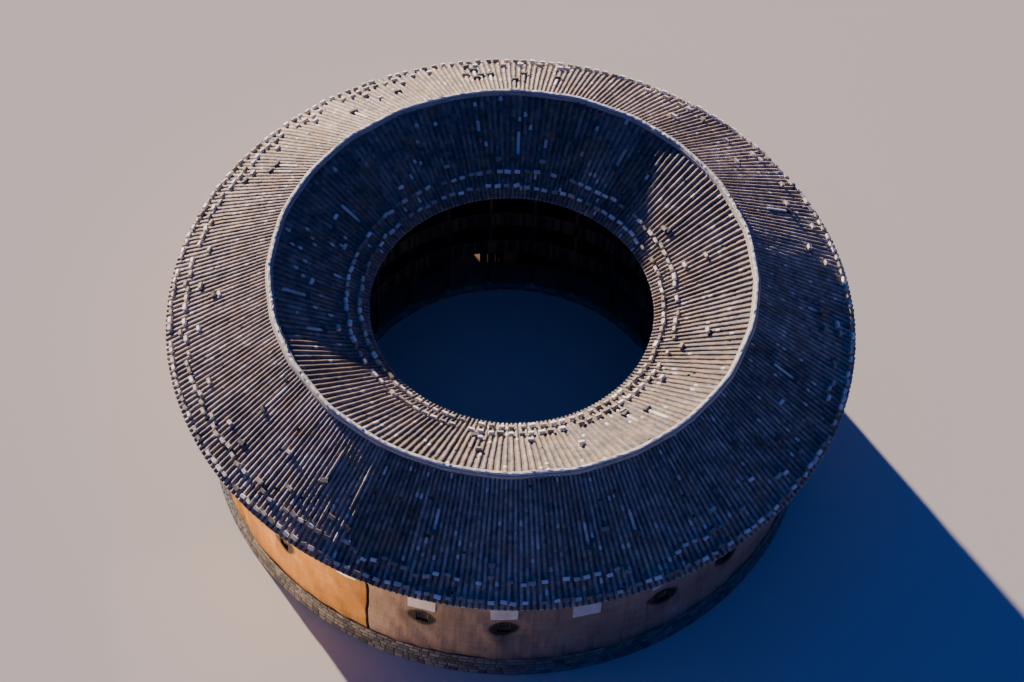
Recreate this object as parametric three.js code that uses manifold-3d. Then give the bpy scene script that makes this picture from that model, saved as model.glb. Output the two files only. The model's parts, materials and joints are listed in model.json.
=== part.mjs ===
// A three-storey earth roundhouse: a thick rammed-earth ring on a stone plinth, with timber
// galleries round an open court and a ring-shaped gable roof of clay tiles.
// Millimetres, +Z up. The origin is the middle of the court at ground level.
// The gateway is on the +Y side, and the bays are counted from +X.

import * as THREE from "three";
import Module from "manifold-3d";
import { mergeVertices } from "three/addons/utils/BufferGeometryUtils.js";

const wasm = await Module();
wasm.setup();

// Joint left between two pieces that touch
const JOINT = 0.3;

// Plan
const BAYS = 24;
const BAY_ANGLE = 360 / BAYS;
const SIDES = 48;
const SIDE_ANGLE = 360 / SIDES;
const GATE_ANGLE = 90;

// Stone plinth
const PLINTH_FOOT_RADIUS = 16700;
const PLINTH_TOP_RADIUS = 16620;
const PLINTH_HEIGHT = 1500;

// Rammed-earth wall
const WALL_FOOT_RADIUS = 16520;
const WALL_TOP_RADIUS = 16260;
const WALL_INNER_RADIUS = 15300;

// Roof, measured on the tiled surface
const OUTER_EAVE_RADIUS = 18540;
const OUTER_EAVE_HEIGHT = 9750;
const RIDGE_RADIUS = 12800;
const RIDGE_HEIGHT = 13300;
const INNER_EAVE_RADIUS = 7600;
const INNER_EAVE_HEIGHT = 10280;
const ROOF_DEPTH = 220;
const RIDGE_CAP_REACH = 260;
const RIDGE_CAP_DEPTH = 90;
const RIDGE_CAP_RISE = 170;

// Floors
const PLATFORM_RADIUS = 9200;
const PLATFORM_HEIGHT = 200;
const SECOND_FLOOR = 3420;
const THIRD_FLOOR = 5870;
const FLOOR_DEPTH = 160;

// Gallery frame on the court side
const POST_SIZE = 190;
const POST_RADIUS = 9595;
const BEAM_DEPTH = 260;
const BEAM_RADIUS = 9720;
const PARAPET_RADIUS = 9420;
const PARAPET_THICKNESS = 60;
const PARAPET_HEIGHT = 880;
const PLATE_DEPTH = 240;

// Timber wall between the rooms and the galleries
const ROOM_WALL_INNER_RADIUS = 11020;
const ROOM_WALL_THICKNESS = 110;
const DOOR_WIDTH = 820;
const DOOR_HEIGHT = 1850;
const PASSAGE_WIDTH = 2200;
const PASSAGE_HEIGHT = 2500;

// Gateway in the outer wall
const GATE_WIDTH = 1700;
const GATE_HEIGHT = 2750;
const GATE_STONE = 300;
const GATE_FACE = 16760;

// Windows of the outer wall
const THIRD_WINDOW_WIDTH = 700;
const THIRD_WINDOW_HEIGHT = 900;
const THIRD_WINDOW_SILL = 6400;
const SECOND_WINDOW_WIDTH = 640;
const SECOND_WINDOW_HEIGHT = 740;
const SECOND_WINDOW_SILL = 4050;
const BLIND_BAY_STEP = 3;

const outerSlope = (RIDGE_HEIGHT - OUTER_EAVE_HEIGHT) / (OUTER_EAVE_RADIUS - RIDGE_RADIUS);
const innerSlope = (RIDGE_HEIGHT - INNER_EAVE_HEIGHT) / (RIDGE_RADIUS - INNER_EAVE_RADIUS);

// Height of the tiled surface over a point at this radius
function roofHeight(radius) {
  if (radius > RIDGE_RADIUS) {
    return RIDGE_HEIGHT - (radius - RIDGE_RADIUS) * outerSlope;
  }
  return RIDGE_HEIGHT - (RIDGE_RADIUS - radius) * innerSlope;
}

function underRoof(radius) {
  return roofHeight(radius) - ROOF_DEPTH - JOINT;
}

// A three.js geometry as a manifold-3d solid
function solidOf(geometry) {
  const plain = geometry.index ? geometry.toNonIndexed() : geometry.clone();
  plain.deleteAttribute("normal");
  plain.deleteAttribute("uv");
  const merged = mergeVertices(plain, 1e-3);
  return new wasm.Manifold(
    new wasm.Mesh({
      numProp: 3,
      vertProperties: merged.attributes.position.array,
      triVerts: new Uint32Array(merged.index.array),
    }),
  );
}

function meshOf(name, solid, material) {
  const found = solid.getMesh();
  const geometry = new THREE.BufferGeometry();
  geometry.setAttribute("position", new THREE.BufferAttribute(found.vertProperties, found.numProp));
  geometry.setIndex(new THREE.BufferAttribute(found.triVerts, 1));
  geometry.computeVertexNormals();
  const mesh = new THREE.Mesh(geometry, material.clone());
  mesh.name = name;
  return mesh;
}

// A full ring whose section is given as [radius, height] points, with a flat side towards each bay
function ring(section) {
  const outline = section.map(([radius, height]) => new THREE.Vector2(radius, height));
  if (THREE.ShapeUtils.area(outline) < 0) {
    outline.reverse();
  }
  outline.push(outline[0].clone());
  const turn = THREE.MathUtils.degToRad(SIDE_ANGLE / 2);
  const geometry = new THREE.LatheGeometry(outline, SIDES, turn, 2 * Math.PI);
  geometry.rotateX(Math.PI / 2);
  return solidOf(geometry);
}

// A box standing on the given floor height, reaching between two distances from the axis
function radialBox(angle, near, far, width, floor, top) {
  const geometry = new THREE.BoxGeometry(far - near, width, top - floor);
  geometry.translate((near + far) / 2, 0, (floor + top) / 2);
  geometry.rotateZ(THREE.MathUtils.degToRad(angle));
  return solidOf(geometry);
}

// The upright wedge between two directions, drawn in by half a joint on both sides
function wedge(from, to) {
  const reach = 80000;
  const half = THREE.MathUtils.degToRad((to - from) / 2);
  const middle = THREE.MathUtils.degToRad((from + to) / 2);
  const tip = JOINT / 2 / Math.sin(half);
  const points = [new THREE.Vector2(tip, 0)];
  for (const turn of [-half, -half / 2, 0, half / 2, half]) {
    points.push(new THREE.Vector2(tip + reach * Math.cos(turn), reach * Math.sin(turn)));
  }
  const shape = new THREE.Shape(points);
  const geometry = new THREE.ExtrudeGeometry(shape, { depth: reach, bevelEnabled: false });
  geometry.translate(0, 0, -reach / 2);
  geometry.rotateZ(middle);
  return solidOf(geometry);
}

function joined(solids) {
  return solids.reduce((whole, next) => whole.add(next));
}

const bayAngles = Array.from({ length: BAYS }, (_, bay) => bay * BAY_ANGLE);

// True on the bays whose second storey has a window in the outer wall
function hasSecondWindow(bay) {
  return bay % BLIND_BAY_STEP !== 0;
}

const stone = new THREE.MeshStandardMaterial({ color: 0x77787a, roughness: 0.9, metalness: 0 });
const earth = new THREE.MeshStandardMaterial({ color: 0xb08a58, roughness: 0.95, metalness: 0 });
const tile = new THREE.MeshStandardMaterial({ color: 0x4a4f57, roughness: 0.85, metalness: 0 });
const mortar = new THREE.MeshStandardMaterial({ color: 0xa9a69c, roughness: 0.9, metalness: 0 });
const timber = new THREE.MeshStandardMaterial({ color: 0x5b4432, roughness: 0.8, metalness: 0 });
const pavingStone = new THREE.MeshStandardMaterial({ color: 0x8a877f, roughness: 0.9, metalness: 0 });

const gateOuterHalf = GATE_WIDTH / 2 + GATE_STONE;
const gateTop = GATE_HEIGHT + GATE_STONE;

// The space taken by the gateway, with its joint
function gateCut(top) {
  const width = 2 * (gateOuterHalf + JOINT);
  return radialBox(GATE_ANGLE, WALL_INNER_RADIUS - 1000, GATE_FACE + 1000, width, -1000, top);
}

function plinths() {
  const whole = ring([
    [WALL_INNER_RADIUS, 0],
    [PLINTH_FOOT_RADIUS, 0],
    [PLINTH_TOP_RADIUS, PLINTH_HEIGHT],
    [WALL_INNER_RADIUS, PLINTH_HEIGHT],
  ]).subtract(gateCut(gateTop));
  const names = ["plinth_east", "plinth_west", "plinth_south_west", "plinth_south_east"];
  return names.map((name, quarter) => {
    const from = quarter * 90;
    return meshOf(name, whole.intersect(wedge(from, from + 90)), stone);
  });
}

function gateFrame() {
  const block = radialBox(
    GATE_ANGLE,
    WALL_INNER_RADIUS,
    GATE_FACE,
    2 * gateOuterHalf,
    0,
    gateTop,
  );
  const way = radialBox(
    GATE_ANGLE,
    WALL_INNER_RADIUS - 1000,
    GATE_FACE + 1000,
    GATE_WIDTH,
    -1000,
    GATE_HEIGHT,
  );
  return [meshOf("gate_frame", block.subtract(way), stone)];
}

function windowCuts() {
  const near = WALL_INNER_RADIUS - 1000;
  const far = PLINTH_FOOT_RADIUS + 1000;
  const cuts = [];
  bayAngles.forEach((angle, bay) => {
    const thirdTop = THIRD_WINDOW_SILL + THIRD_WINDOW_HEIGHT;
    const secondTop = SECOND_WINDOW_SILL + SECOND_WINDOW_HEIGHT;
    cuts.push(radialBox(angle, near, far, THIRD_WINDOW_WIDTH, THIRD_WINDOW_SILL, thirdTop));
    if (hasSecondWindow(bay)) {
      cuts.push(radialBox(angle, near, far, SECOND_WINDOW_WIDTH, SECOND_WINDOW_SILL, secondTop));
    }
  });
  return joined(cuts);
}

function earthWalls() {
  const whole = ring([
    [WALL_INNER_RADIUS, PLINTH_HEIGHT + JOINT],
    [WALL_FOOT_RADIUS, PLINTH_HEIGHT + JOINT],
    [WALL_TOP_RADIUS, underRoof(WALL_TOP_RADIUS)],
    [WALL_INNER_RADIUS, underRoof(WALL_INNER_RADIUS)],
  ]).subtract(windowCuts());
  const overGate = radialBox(
    GATE_ANGLE,
    WALL_INNER_RADIUS - 1000,
    GATE_FACE + 1000,
    2 * gateOuterHalf,
    gateTop + JOINT,
    RIDGE_HEIGHT,
  );
  const besideGate = whole.subtract(gateCut(RIDGE_HEIGHT));
  const parts = [
    ["wall_gate_west", 90, 127.5],
    ["wall_west", 127.5, 187.5],
    ["wall_south_west", 187.5, 247.5],
    ["wall_south_by_west_left", 247.5, 255],
    ["wall_south_by_west_right", 255, 262.5],
    ["wall_south", 262.5, 277.5],
    ["wall_south_by_east", 277.5, 292.5],
    ["wall_south_east", 292.5, 337.5],
    ["wall_east_by_south_left", 337.5, 345],
    ["wall_east_by_south_right", 345, 352.5],
    ["wall_east", 352.5, 412.5],
    ["wall_gate_east", 412.5, 450],
  ];
  const meshes = parts.map(([name, from, to]) =>
    meshOf(name, besideGate.intersect(wedge(from, to)), earth),
  );
  meshes.push(meshOf("wall_over_gate", whole.intersect(overGate), earth));
  return meshes;
}

function platform() {
  const whole = ring([
    [PLATFORM_RADIUS, 0],
    [WALL_INNER_RADIUS - JOINT, 0],
    [WALL_INNER_RADIUS - JOINT, PLATFORM_HEIGHT],
    [PLATFORM_RADIUS, PLATFORM_HEIGHT],
  ]);
  return [meshOf("ground_platform", whole, pavingStone)];
}

function floors() {
  const meshes = [];
  for (const [storey, top] of [["second", SECOND_FLOOR], ["third", THIRD_FLOOR]]) {
    const whole = ring([
      [BEAM_RADIUS + JOINT, top - FLOOR_DEPTH],
      [WALL_INNER_RADIUS - JOINT, top - FLOOR_DEPTH],
      [WALL_INNER_RADIUS - JOINT, top],
      [BEAM_RADIUS + JOINT, top],
    ]);
    meshes.push(meshOf(storey + "_floor_north", whole.intersect(wedge(0, 180)), timber));
    meshes.push(meshOf(storey + "_floor_south", whole.intersect(wedge(180, 360)), timber));
  }
  return meshes;
}

// The edge of a gallery floor: its ring beam, with the board parapet on the court side of it
function galleryEdge(floor) {
  const parapetBack = PARAPET_RADIUS + PARAPET_THICKNESS;
  return ring([
    [PARAPET_RADIUS, floor - BEAM_DEPTH],
    [BEAM_RADIUS, floor - BEAM_DEPTH],
    [BEAM_RADIUS, floor],
    [parapetBack, floor],
    [parapetBack, floor + PARAPET_HEIGHT],
    [PARAPET_RADIUS, floor + PARAPET_HEIGHT],
  ]);
}

// The plate on the top posts, cut to the slope of the roof
function galleryPlate() {
  const inner = PARAPET_RADIUS + PARAPET_THICKNESS;
  const bottom = underRoof(inner) - PLATE_DEPTH;
  return ring([
    [inner, bottom],
    [BEAM_RADIUS, bottom],
    [BEAM_RADIUS, underRoof(BEAM_RADIUS)],
    [inner, underRoof(inner)],
  ]);
}

// One storey of the gallery: its posts, and what they carry
function galleryStorey(floor, carried, underside) {
  const posts = bayAngles.map((angle) =>
    radialBox(
      angle + BAY_ANGLE / 2,
      POST_RADIUS - POST_SIZE / 2,
      POST_RADIUS + POST_SIZE / 2,
      POST_SIZE,
      floor + JOINT,
      underside + PLATE_DEPTH / 2,
    ),
  );
  return joined([carried, ...posts]);
}

function galleries() {
  const plateUnderside = underRoof(PARAPET_RADIUS + PARAPET_THICKNESS) - PLATE_DEPTH;
  const storeys = [
    ["ground", PLATFORM_HEIGHT, galleryEdge(SECOND_FLOOR), SECOND_FLOOR - BEAM_DEPTH],
    ["second", SECOND_FLOOR, galleryEdge(THIRD_FLOOR), THIRD_FLOOR - BEAM_DEPTH],
    ["third", THIRD_FLOOR, galleryPlate(), plateUnderside],
  ];
  const meshes = [];
  for (const [storey, floor, carried, underside] of storeys) {
    const whole = galleryStorey(floor, carried, underside);
    meshes.push(meshOf(storey + "_gallery_north", whole.intersect(wedge(0, 180)), timber));
    meshes.push(meshOf(storey + "_gallery_south", whole.intersect(wedge(180, 360)), timber));
  }
  return meshes;
}

// The doors of one storey, with the wide passage behind the gateway on the ground floor
function doorCuts(floor, hasPassage) {
  const near = ROOM_WALL_INNER_RADIUS - 500;
  const far = ROOM_WALL_INNER_RADIUS + 700;
  return joined(
    bayAngles.map((angle) => {
      const passage = hasPassage && angle === GATE_ANGLE;
      const width = passage ? PASSAGE_WIDTH : DOOR_WIDTH;
      const height = passage ? PASSAGE_HEIGHT : DOOR_HEIGHT;
      return radialBox(angle, near, far, width, floor - 500, floor + height);
    }),
  );
}

function roomWalls() {
  const inner = ROOM_WALL_INNER_RADIUS;
  const outer = ROOM_WALL_INNER_RADIUS + ROOM_WALL_THICKNESS;
  const secondHead = SECOND_FLOOR - FLOOR_DEPTH - JOINT;
  const thirdHead = THIRD_FLOOR - FLOOR_DEPTH - JOINT;
  const storeys = [
    ["ground", PLATFORM_HEIGHT, secondHead, secondHead],
    ["second", SECOND_FLOOR, thirdHead, thirdHead],
    ["third", THIRD_FLOOR, underRoof(inner), underRoof(outer)],
  ];
  const meshes = [];
  for (const [storey, floor, innerTop, outerTop] of storeys) {
    const whole = ring([
      [inner, floor + JOINT],
      [outer, floor + JOINT],
      [outer, outerTop],
      [inner, innerTop],
    ]).subtract(doorCuts(floor + JOINT, storey === "ground"));
    meshes.push(meshOf(storey + "_room_wall_north", whole.intersect(wedge(0, 180)), timber));
    meshes.push(meshOf(storey + "_room_wall_south", whole.intersect(wedge(180, 360)), timber));
  }
  return meshes;
}

function roofs() {
  const outerWhole = ring([
    [RIDGE_RADIUS + JOINT, roofHeight(RIDGE_RADIUS) - ROOF_DEPTH],
    [OUTER_EAVE_RADIUS, OUTER_EAVE_HEIGHT - ROOF_DEPTH],
    [OUTER_EAVE_RADIUS, OUTER_EAVE_HEIGHT],
    [RIDGE_RADIUS + JOINT, roofHeight(RIDGE_RADIUS)],
  ]);
  const innerWhole = ring([
    [INNER_EAVE_RADIUS, INNER_EAVE_HEIGHT - ROOF_DEPTH],
    [RIDGE_RADIUS, roofHeight(RIDGE_RADIUS) - ROOF_DEPTH],
    [RIDGE_RADIUS, roofHeight(RIDGE_RADIUS)],
    [INNER_EAVE_RADIUS, INNER_EAVE_HEIGHT],
  ]);
  const meshes = [];
  ["north", "west", "south", "east"].forEach((side, quarter) => {
    const from = 45 + quarter * 90;
    const part = wedge(from, from + 90);
    meshes.push(meshOf("outer_roof_" + side, outerWhole.intersect(part), tile));
    meshes.push(meshOf("inner_roof_" + side, innerWhole.intersect(part), tile));
  });
  return meshes;
}

function ridgeCap() {
  const outer = RIDGE_RADIUS + RIDGE_CAP_REACH;
  const inner = RIDGE_RADIUS - RIDGE_CAP_REACH;
  const lift = 2 * JOINT;
  const whole = ring([
    [inner, roofHeight(inner) + lift],
    [RIDGE_RADIUS, RIDGE_HEIGHT + lift],
    [outer, roofHeight(outer) + lift],
    [outer, roofHeight(outer) + RIDGE_CAP_DEPTH],
    [RIDGE_RADIUS, RIDGE_HEIGHT + RIDGE_CAP_RISE],
    [inner, roofHeight(inner) + RIDGE_CAP_DEPTH],
  ]);
  return [meshOf("ridge_cap", whole, mortar)];
}

const house = new THREE.Group();
house.name = "tulou_roundhouse";
for (const build of [
  plinths,
  gateFrame,
  earthWalls,
  platform,
  floors,
  galleries,
  roomWalls,
  roofs,
  ridgeCap,
]) {
  house.add(...build());
}

export default house;
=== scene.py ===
"""Looks of a round rammed-earth clan house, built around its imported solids.

Metres, +Z up. The origin is the middle of the court at ground level, the gateway is on the +Y
side, and bays are counted from +X against the clock.
"""

import json
import logging
import math
from collections.abc import Iterator, Sequence
from dataclasses import dataclass, field, replace
from enum import Enum
from typing import Any

import bmesh
import bpy
import numpy as np
from mathutils import Matrix, Vector

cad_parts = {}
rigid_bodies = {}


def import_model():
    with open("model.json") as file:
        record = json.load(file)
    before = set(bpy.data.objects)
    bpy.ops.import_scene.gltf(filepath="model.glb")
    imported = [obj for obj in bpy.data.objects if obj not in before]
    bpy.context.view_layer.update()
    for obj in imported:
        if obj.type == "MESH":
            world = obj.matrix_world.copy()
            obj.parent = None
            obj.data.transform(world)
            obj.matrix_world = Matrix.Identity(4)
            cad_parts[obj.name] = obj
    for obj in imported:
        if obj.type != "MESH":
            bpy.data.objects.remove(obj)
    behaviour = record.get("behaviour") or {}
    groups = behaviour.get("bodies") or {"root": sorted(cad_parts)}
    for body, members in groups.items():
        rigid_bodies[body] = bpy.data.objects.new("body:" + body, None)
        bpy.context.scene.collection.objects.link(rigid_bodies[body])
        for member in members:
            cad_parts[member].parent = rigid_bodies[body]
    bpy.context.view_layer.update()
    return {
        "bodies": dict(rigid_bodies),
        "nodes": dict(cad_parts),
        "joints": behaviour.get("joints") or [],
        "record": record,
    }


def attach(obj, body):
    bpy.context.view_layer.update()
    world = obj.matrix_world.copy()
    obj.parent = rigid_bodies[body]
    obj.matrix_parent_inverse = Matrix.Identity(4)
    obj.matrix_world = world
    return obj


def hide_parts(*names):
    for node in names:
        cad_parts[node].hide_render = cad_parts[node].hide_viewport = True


log = logging.getLogger("roundhouse")

BODY = "root"
TONE = "tone"
# Attribute of the wall's darker marks, painted shade in its crack among them
DARK_MARK_AND_SHADE = "stain"
FULL_TURN = 2 * math.pi
QUARTER = math.radians(90)

Point = tuple[float, float, float]
Face = tuple[int, ...]
Span = Sequence[float]
Shape = tuple[Sequence[Sequence[float]], Sequence[Face]]
Tree = bpy.types.NodeTree
Socket = bpy.types.NodeSocket
Material = bpy.types.Material


# Sizes that every part of the house shares


@dataclass(frozen=True)
class House:
    """The circles and levels of the house, in metres. An eave is its radius and its height."""

    bays: int = 24
    outer_eave: tuple[float, float] = (18.47, 9.78)
    inner_eave: tuple[float, float] = (7.6, 10.28)
    ridge: float = 12.8
    ridge_height: float = 13.3
    wall_foot: float = 16.5
    wall_top: float = 16.24
    wall_top_height: float = 10.8
    wall_inner: float = 15.28
    plinth_height: float = 1.5
    platform_height: float = 0.2
    second_floor: float = 3.42
    third_floor: float = 5.87
    post_radius: float = 9.58
    gate_angle: float = math.radians(90)
    gate_half_width: float = 1.15
    gate_top: float = 3.05

    @property
    def bay(self) -> float:
        """Angle of one bay, in radians."""
        return FULL_TURN / self.bays

    def roof_height(self, radius: float) -> float:
        """Height of the roof's surface at a distance from the axis."""
        eave, height = self.outer_eave if radius > self.ridge else self.inner_eave
        return self.ridge_height + (radius - self.ridge) / (eave - self.ridge) * (height - self.ridge_height)

    def wall_radius(self, height: float | np.ndarray) -> float | np.ndarray:
        """Distance of the earth wall's outer face from the axis, which shrinks upwards."""
        share = (height - self.plinth_height) / (self.wall_top_height - self.plinth_height)
        return self.wall_foot + share * (self.wall_top - self.wall_foot)


HOUSE = House()


class Slot(Enum):
    """The record's material slots."""

    EARTH = "rammed_earth"
    PLINTH = "plinth_stone"
    PLATFORM = "platform_stone"
    TILE = "roof_tile"
    RIDGE = "ridge_mortar"
    TIMBER = "old_timber"


class Slope(Enum):
    """The two slopes of the roof."""

    OUTER = "outer"
    INNER = "inner"


# Node trees


def add_node(tree: Tree, kind: str, values: dict[str | int, Any] | None = None) -> bpy.types.NodeOutputs:
    """Adds a node with its settings and its incoming links.

    Args:
        tree: The tree that takes the node.
        kind: Blender's identifier of the node.
        values: Properties by their lower-case name, a ramp's colours as "stops", and inputs by their
            name or index, each with its value or with the output of another node that feeds it.

    Returns:
        The new node's outputs.
    """
    node = tree.nodes.new(kind)
    for key, value in (values or {}).items():
        if key == "stops":
            elements = node.color_ramp.elements
            while len(elements) < len(value):
                elements.new(1.0)
            for element, (place, colour) in zip(elements, value):
                element.position, element.color = place, colour
        elif isinstance(value, Socket):
            tree.links.new(value, node.inputs[key])
        elif isinstance(key, str) and key[0].islower():
            setattr(node, key, value)
        else:
            node.inputs[key].default_value = value
    return node.outputs


def linear(code: str) -> tuple[float, float, float, float]:
    """Turns an sRGB hex colour into linear red, green, blue and alpha.

    Args:
        code: The colour, such as "#8a7f70".

    Returns:
        The colour in the form that shader sockets take.
    """
    values = [int(code[i : i + 2], 16) / 255 for i in (1, 3, 5)]
    turned = [v / 12.92 if v <= 0.04045 else ((v + 0.055) / 1.055) ** 2.4 for v in values]
    return (turned[0], turned[1], turned[2], 1.0)


# Finishes


def blank_material(name: str, roughness: float) -> tuple[Material, bpy.types.Node]:
    """Makes a material that holds only its shader and its output.

    Args:
        name: Name of the material.
        roughness: Roughness of the whole surface.

    Returns:
        The material and its Principled shader.
    """
    material = bpy.data.materials.new(name)
    material.use_nodes = True
    shader = material.node_tree.nodes["Principled BSDF"]
    shader.inputs["Roughness"].default_value = roughness
    shader.inputs["IOR"].default_value = 1.5
    return material, shader


@dataclass(frozen=True)
class Weathered:
    """A dull mineral or timber surface whose colour wanders between three tones.

    Patches are the broad changes of colour, grain is the fine one, and spots are what grows or
    sticks on the surface. Their sizes are in metres. The tone attribute, where a piece has it,
    sets each stone, board or tile apart from its neighbours.
    """

    name: str
    dark: str
    middle: str
    light: str
    spot: str
    roughness: float = 0.88
    patch_size: float = 1.6
    grain_size: float = 0.05
    grain_stretch: Point = (1.0, 1.0, 1.0)
    tone_share: float = 0.0
    patch_share: float = 0.5
    grain_share: float = 0.5
    spot_size: float = 0.2
    spot_level: float = 0.64
    spot_strength: float = 0.6
    spot_edge: float = 0.06
    bump: float = 0.006

    def own_tone(self, tree: Tree, place: Socket) -> Socket:
        """Adds the nodes that set one shape apart from its neighbours.

        Args:
            tree: The material's tree.
            place: The point's place on the house; not used.

        Returns:
            The share that each shape's own tone has in the colour.
        """
        tone = add_node(tree, "ShaderNodeAttribute", {"attribute_name": TONE})["Fac"]
        return add_node(tree, "ShaderNodeMath", {"operation": "MULTIPLY", 0: tone, 1: self.tone_share})[0]

    def stained(self, tree: Tree, place: Socket, colour: Socket) -> Socket:
        """Gives the colour as it is, for a surface without broad marks."""
        return colour

    def stops(self) -> list[tuple[float, tuple[float, float, float, float]]]:
        """Gives the colours of the ramp, from dark to light."""
        return [(0.28, linear(self.dark)), (0.5, linear(self.middle)), (0.74, linear(self.light))]

    def build(self) -> Material:
        """Makes the material.

        Returns:
            The material.
        """
        material, shader = blank_material(self.name, self.roughness)
        tree = material.node_tree
        place = add_node(tree, "ShaderNodeTexCoord")["Object"]
        stretched = add_node(tree, "ShaderNodeMapping", {"Scale": self.grain_stretch, "Vector": place})[0]
        grain, patches, growth = (
            add_node(
                tree, "ShaderNodeTexNoise",
                {"Scale": 1 / size, "Detail": detail, "Roughness": roughness, "Vector": spot}
            )[0]
            for size, detail, roughness, spot in (
                (self.grain_size, 4.0, 0.65, stretched), (self.patch_size, 5.0, 0.6, place),
                (self.spot_size, 6.0, 0.72, place)
            )
        )
        mixed = self.own_tone(tree, place)
        for layer, share in ((patches, self.patch_share), (grain, self.grain_share)):
            mixed = add_node(
                tree, "ShaderNodeMath", {"operation": "MULTIPLY_ADD", 0: layer, 1: share, 2: mixed}
            )[0]
        ramp = add_node(tree, "ShaderNodeValToRGB", {"stops": self.stops(), "Fac": mixed})["Color"]
        covered = add_node(
            tree, "ShaderNodeMapRange",
            {0: growth, 1: self.spot_level, 2: self.spot_level + self.spot_edge, 4: self.spot_strength}
        )[0]
        colours = {6: self.stained(tree, place, ramp), 7: linear(self.spot)}
        spotted = add_node(tree, "ShaderNodeMix", {"data_type": "RGBA", 0: covered, **colours})[2]
        tree.links.new(spotted, shader.inputs["Base Color"])
        relief = add_node(
            tree, "ShaderNodeBump", {"Strength": 0.9, "Distance": self.bump, "Height": grain}
        )[0]
        tree.links.new(relief, shader.inputs["Normal"])
        return material


@dataclass(frozen=True)
class RoofTile(Weathered):
    """Tiles whose grey changes from one mended stretch of the roof to the next, a few limed pale."""

    stretches: float = 31.0
    stretch_share: float = 0.17
    rows: float = 360.0
    streak_share: float = 0.45
    pale_share: float = 0.022
    moss: str = "#8c7148"

    def stained(self, tree: Tree, place: Socket, colour: Socket) -> Socket:
        """Adds dry brown moss in patches of a metre or two.

        Args:
            tree: The material's tree.
            place: The point's place on the house.
            colour: Colour of the tiles.

        Returns:
            The colour with the moss on it.
        """
        growth = add_node(
            tree, "ShaderNodeTexNoise", {"Scale": 0.7, "Detail": 7.0, "Roughness": 0.7, "Vector": place}
        )[0]
        covered = add_node(tree, "ShaderNodeMapRange", {0: growth, 1: 0.5, 2: 0.66, 4: 0.6})[0]
        colours = {6: colour, 7: linear(self.moss)}
        return add_node(tree, "ShaderNodeMix", {"data_type": "RGBA", 0: covered, **colours})[2]

    def stops(self) -> list[tuple[float, tuple[float, float, float, float]]]:
        """Gives the colours of the ramp, with the pale tiles at its end."""
        return [*super().stops(), (1.0, linear(self.spot))]

    def own_tone(self, tree: Tree, place: Socket) -> Socket:
        """Adds the tone of the stretch of roof, and of streaks down the rows, to the tile's own.

        Args:
            tree: The material's tree.
            place: The point's place on the house.

        Returns:
            The share that all the tones have in the colour.
        """
        own = super().own_tone(tree, place)
        turn = add_node(tree, "ShaderNodeTexGradient", {"gradient_type": "RADIAL", "Vector": place})["Fac"]
        counted, across = (
            add_node(tree, "ShaderNodeMath", {"operation": "MULTIPLY", 0: turn, 1: count})[0]
            for count in (self.stretches, self.rows)
        )
        number = add_node(tree, "ShaderNodeMath", {"operation": "FLOOR", 0: counted})[0]
        batch = add_node(tree, "ShaderNodeTexWhiteNoise", {"noise_dimensions": "1D", "W": number})["Value"]
        tone = add_node(tree, "ShaderNodeAttribute", {"attribute_name": TONE})["Fac"]
        pale = add_node(
            tree, "ShaderNodeMath", {"operation": "GREATER_THAN", 0: tone, 1: 1 - self.pale_share}
        )[0]
        total = add_node(tree, "ShaderNodeMath", {"operation": "ADD", 0: pale, 1: own})[0]
        upward = add_node(tree, "ShaderNodeVectorMath", {"operation": "LENGTH", 0: place})["Value"]
        run = add_node(tree, "ShaderNodeCombineXYZ", {"X": across, "Y": upward})[0]
        streaks = add_node(tree, "ShaderNodeTexNoise", {"Scale": 0.8, "Detail": 3.0, "Vector": run})[0]
        centred = add_node(tree, "ShaderNodeMath", {"operation": "SUBTRACT", 0: streaks, 1: 0.5})[0]
        for layer, share in ((batch, self.stretch_share), (centred, self.streak_share)):
            total = add_node(
                tree, "ShaderNodeMath", {"operation": "MULTIPLY_ADD", 0: layer, 1: share, 2: total}
            )[0]
        return total


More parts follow.
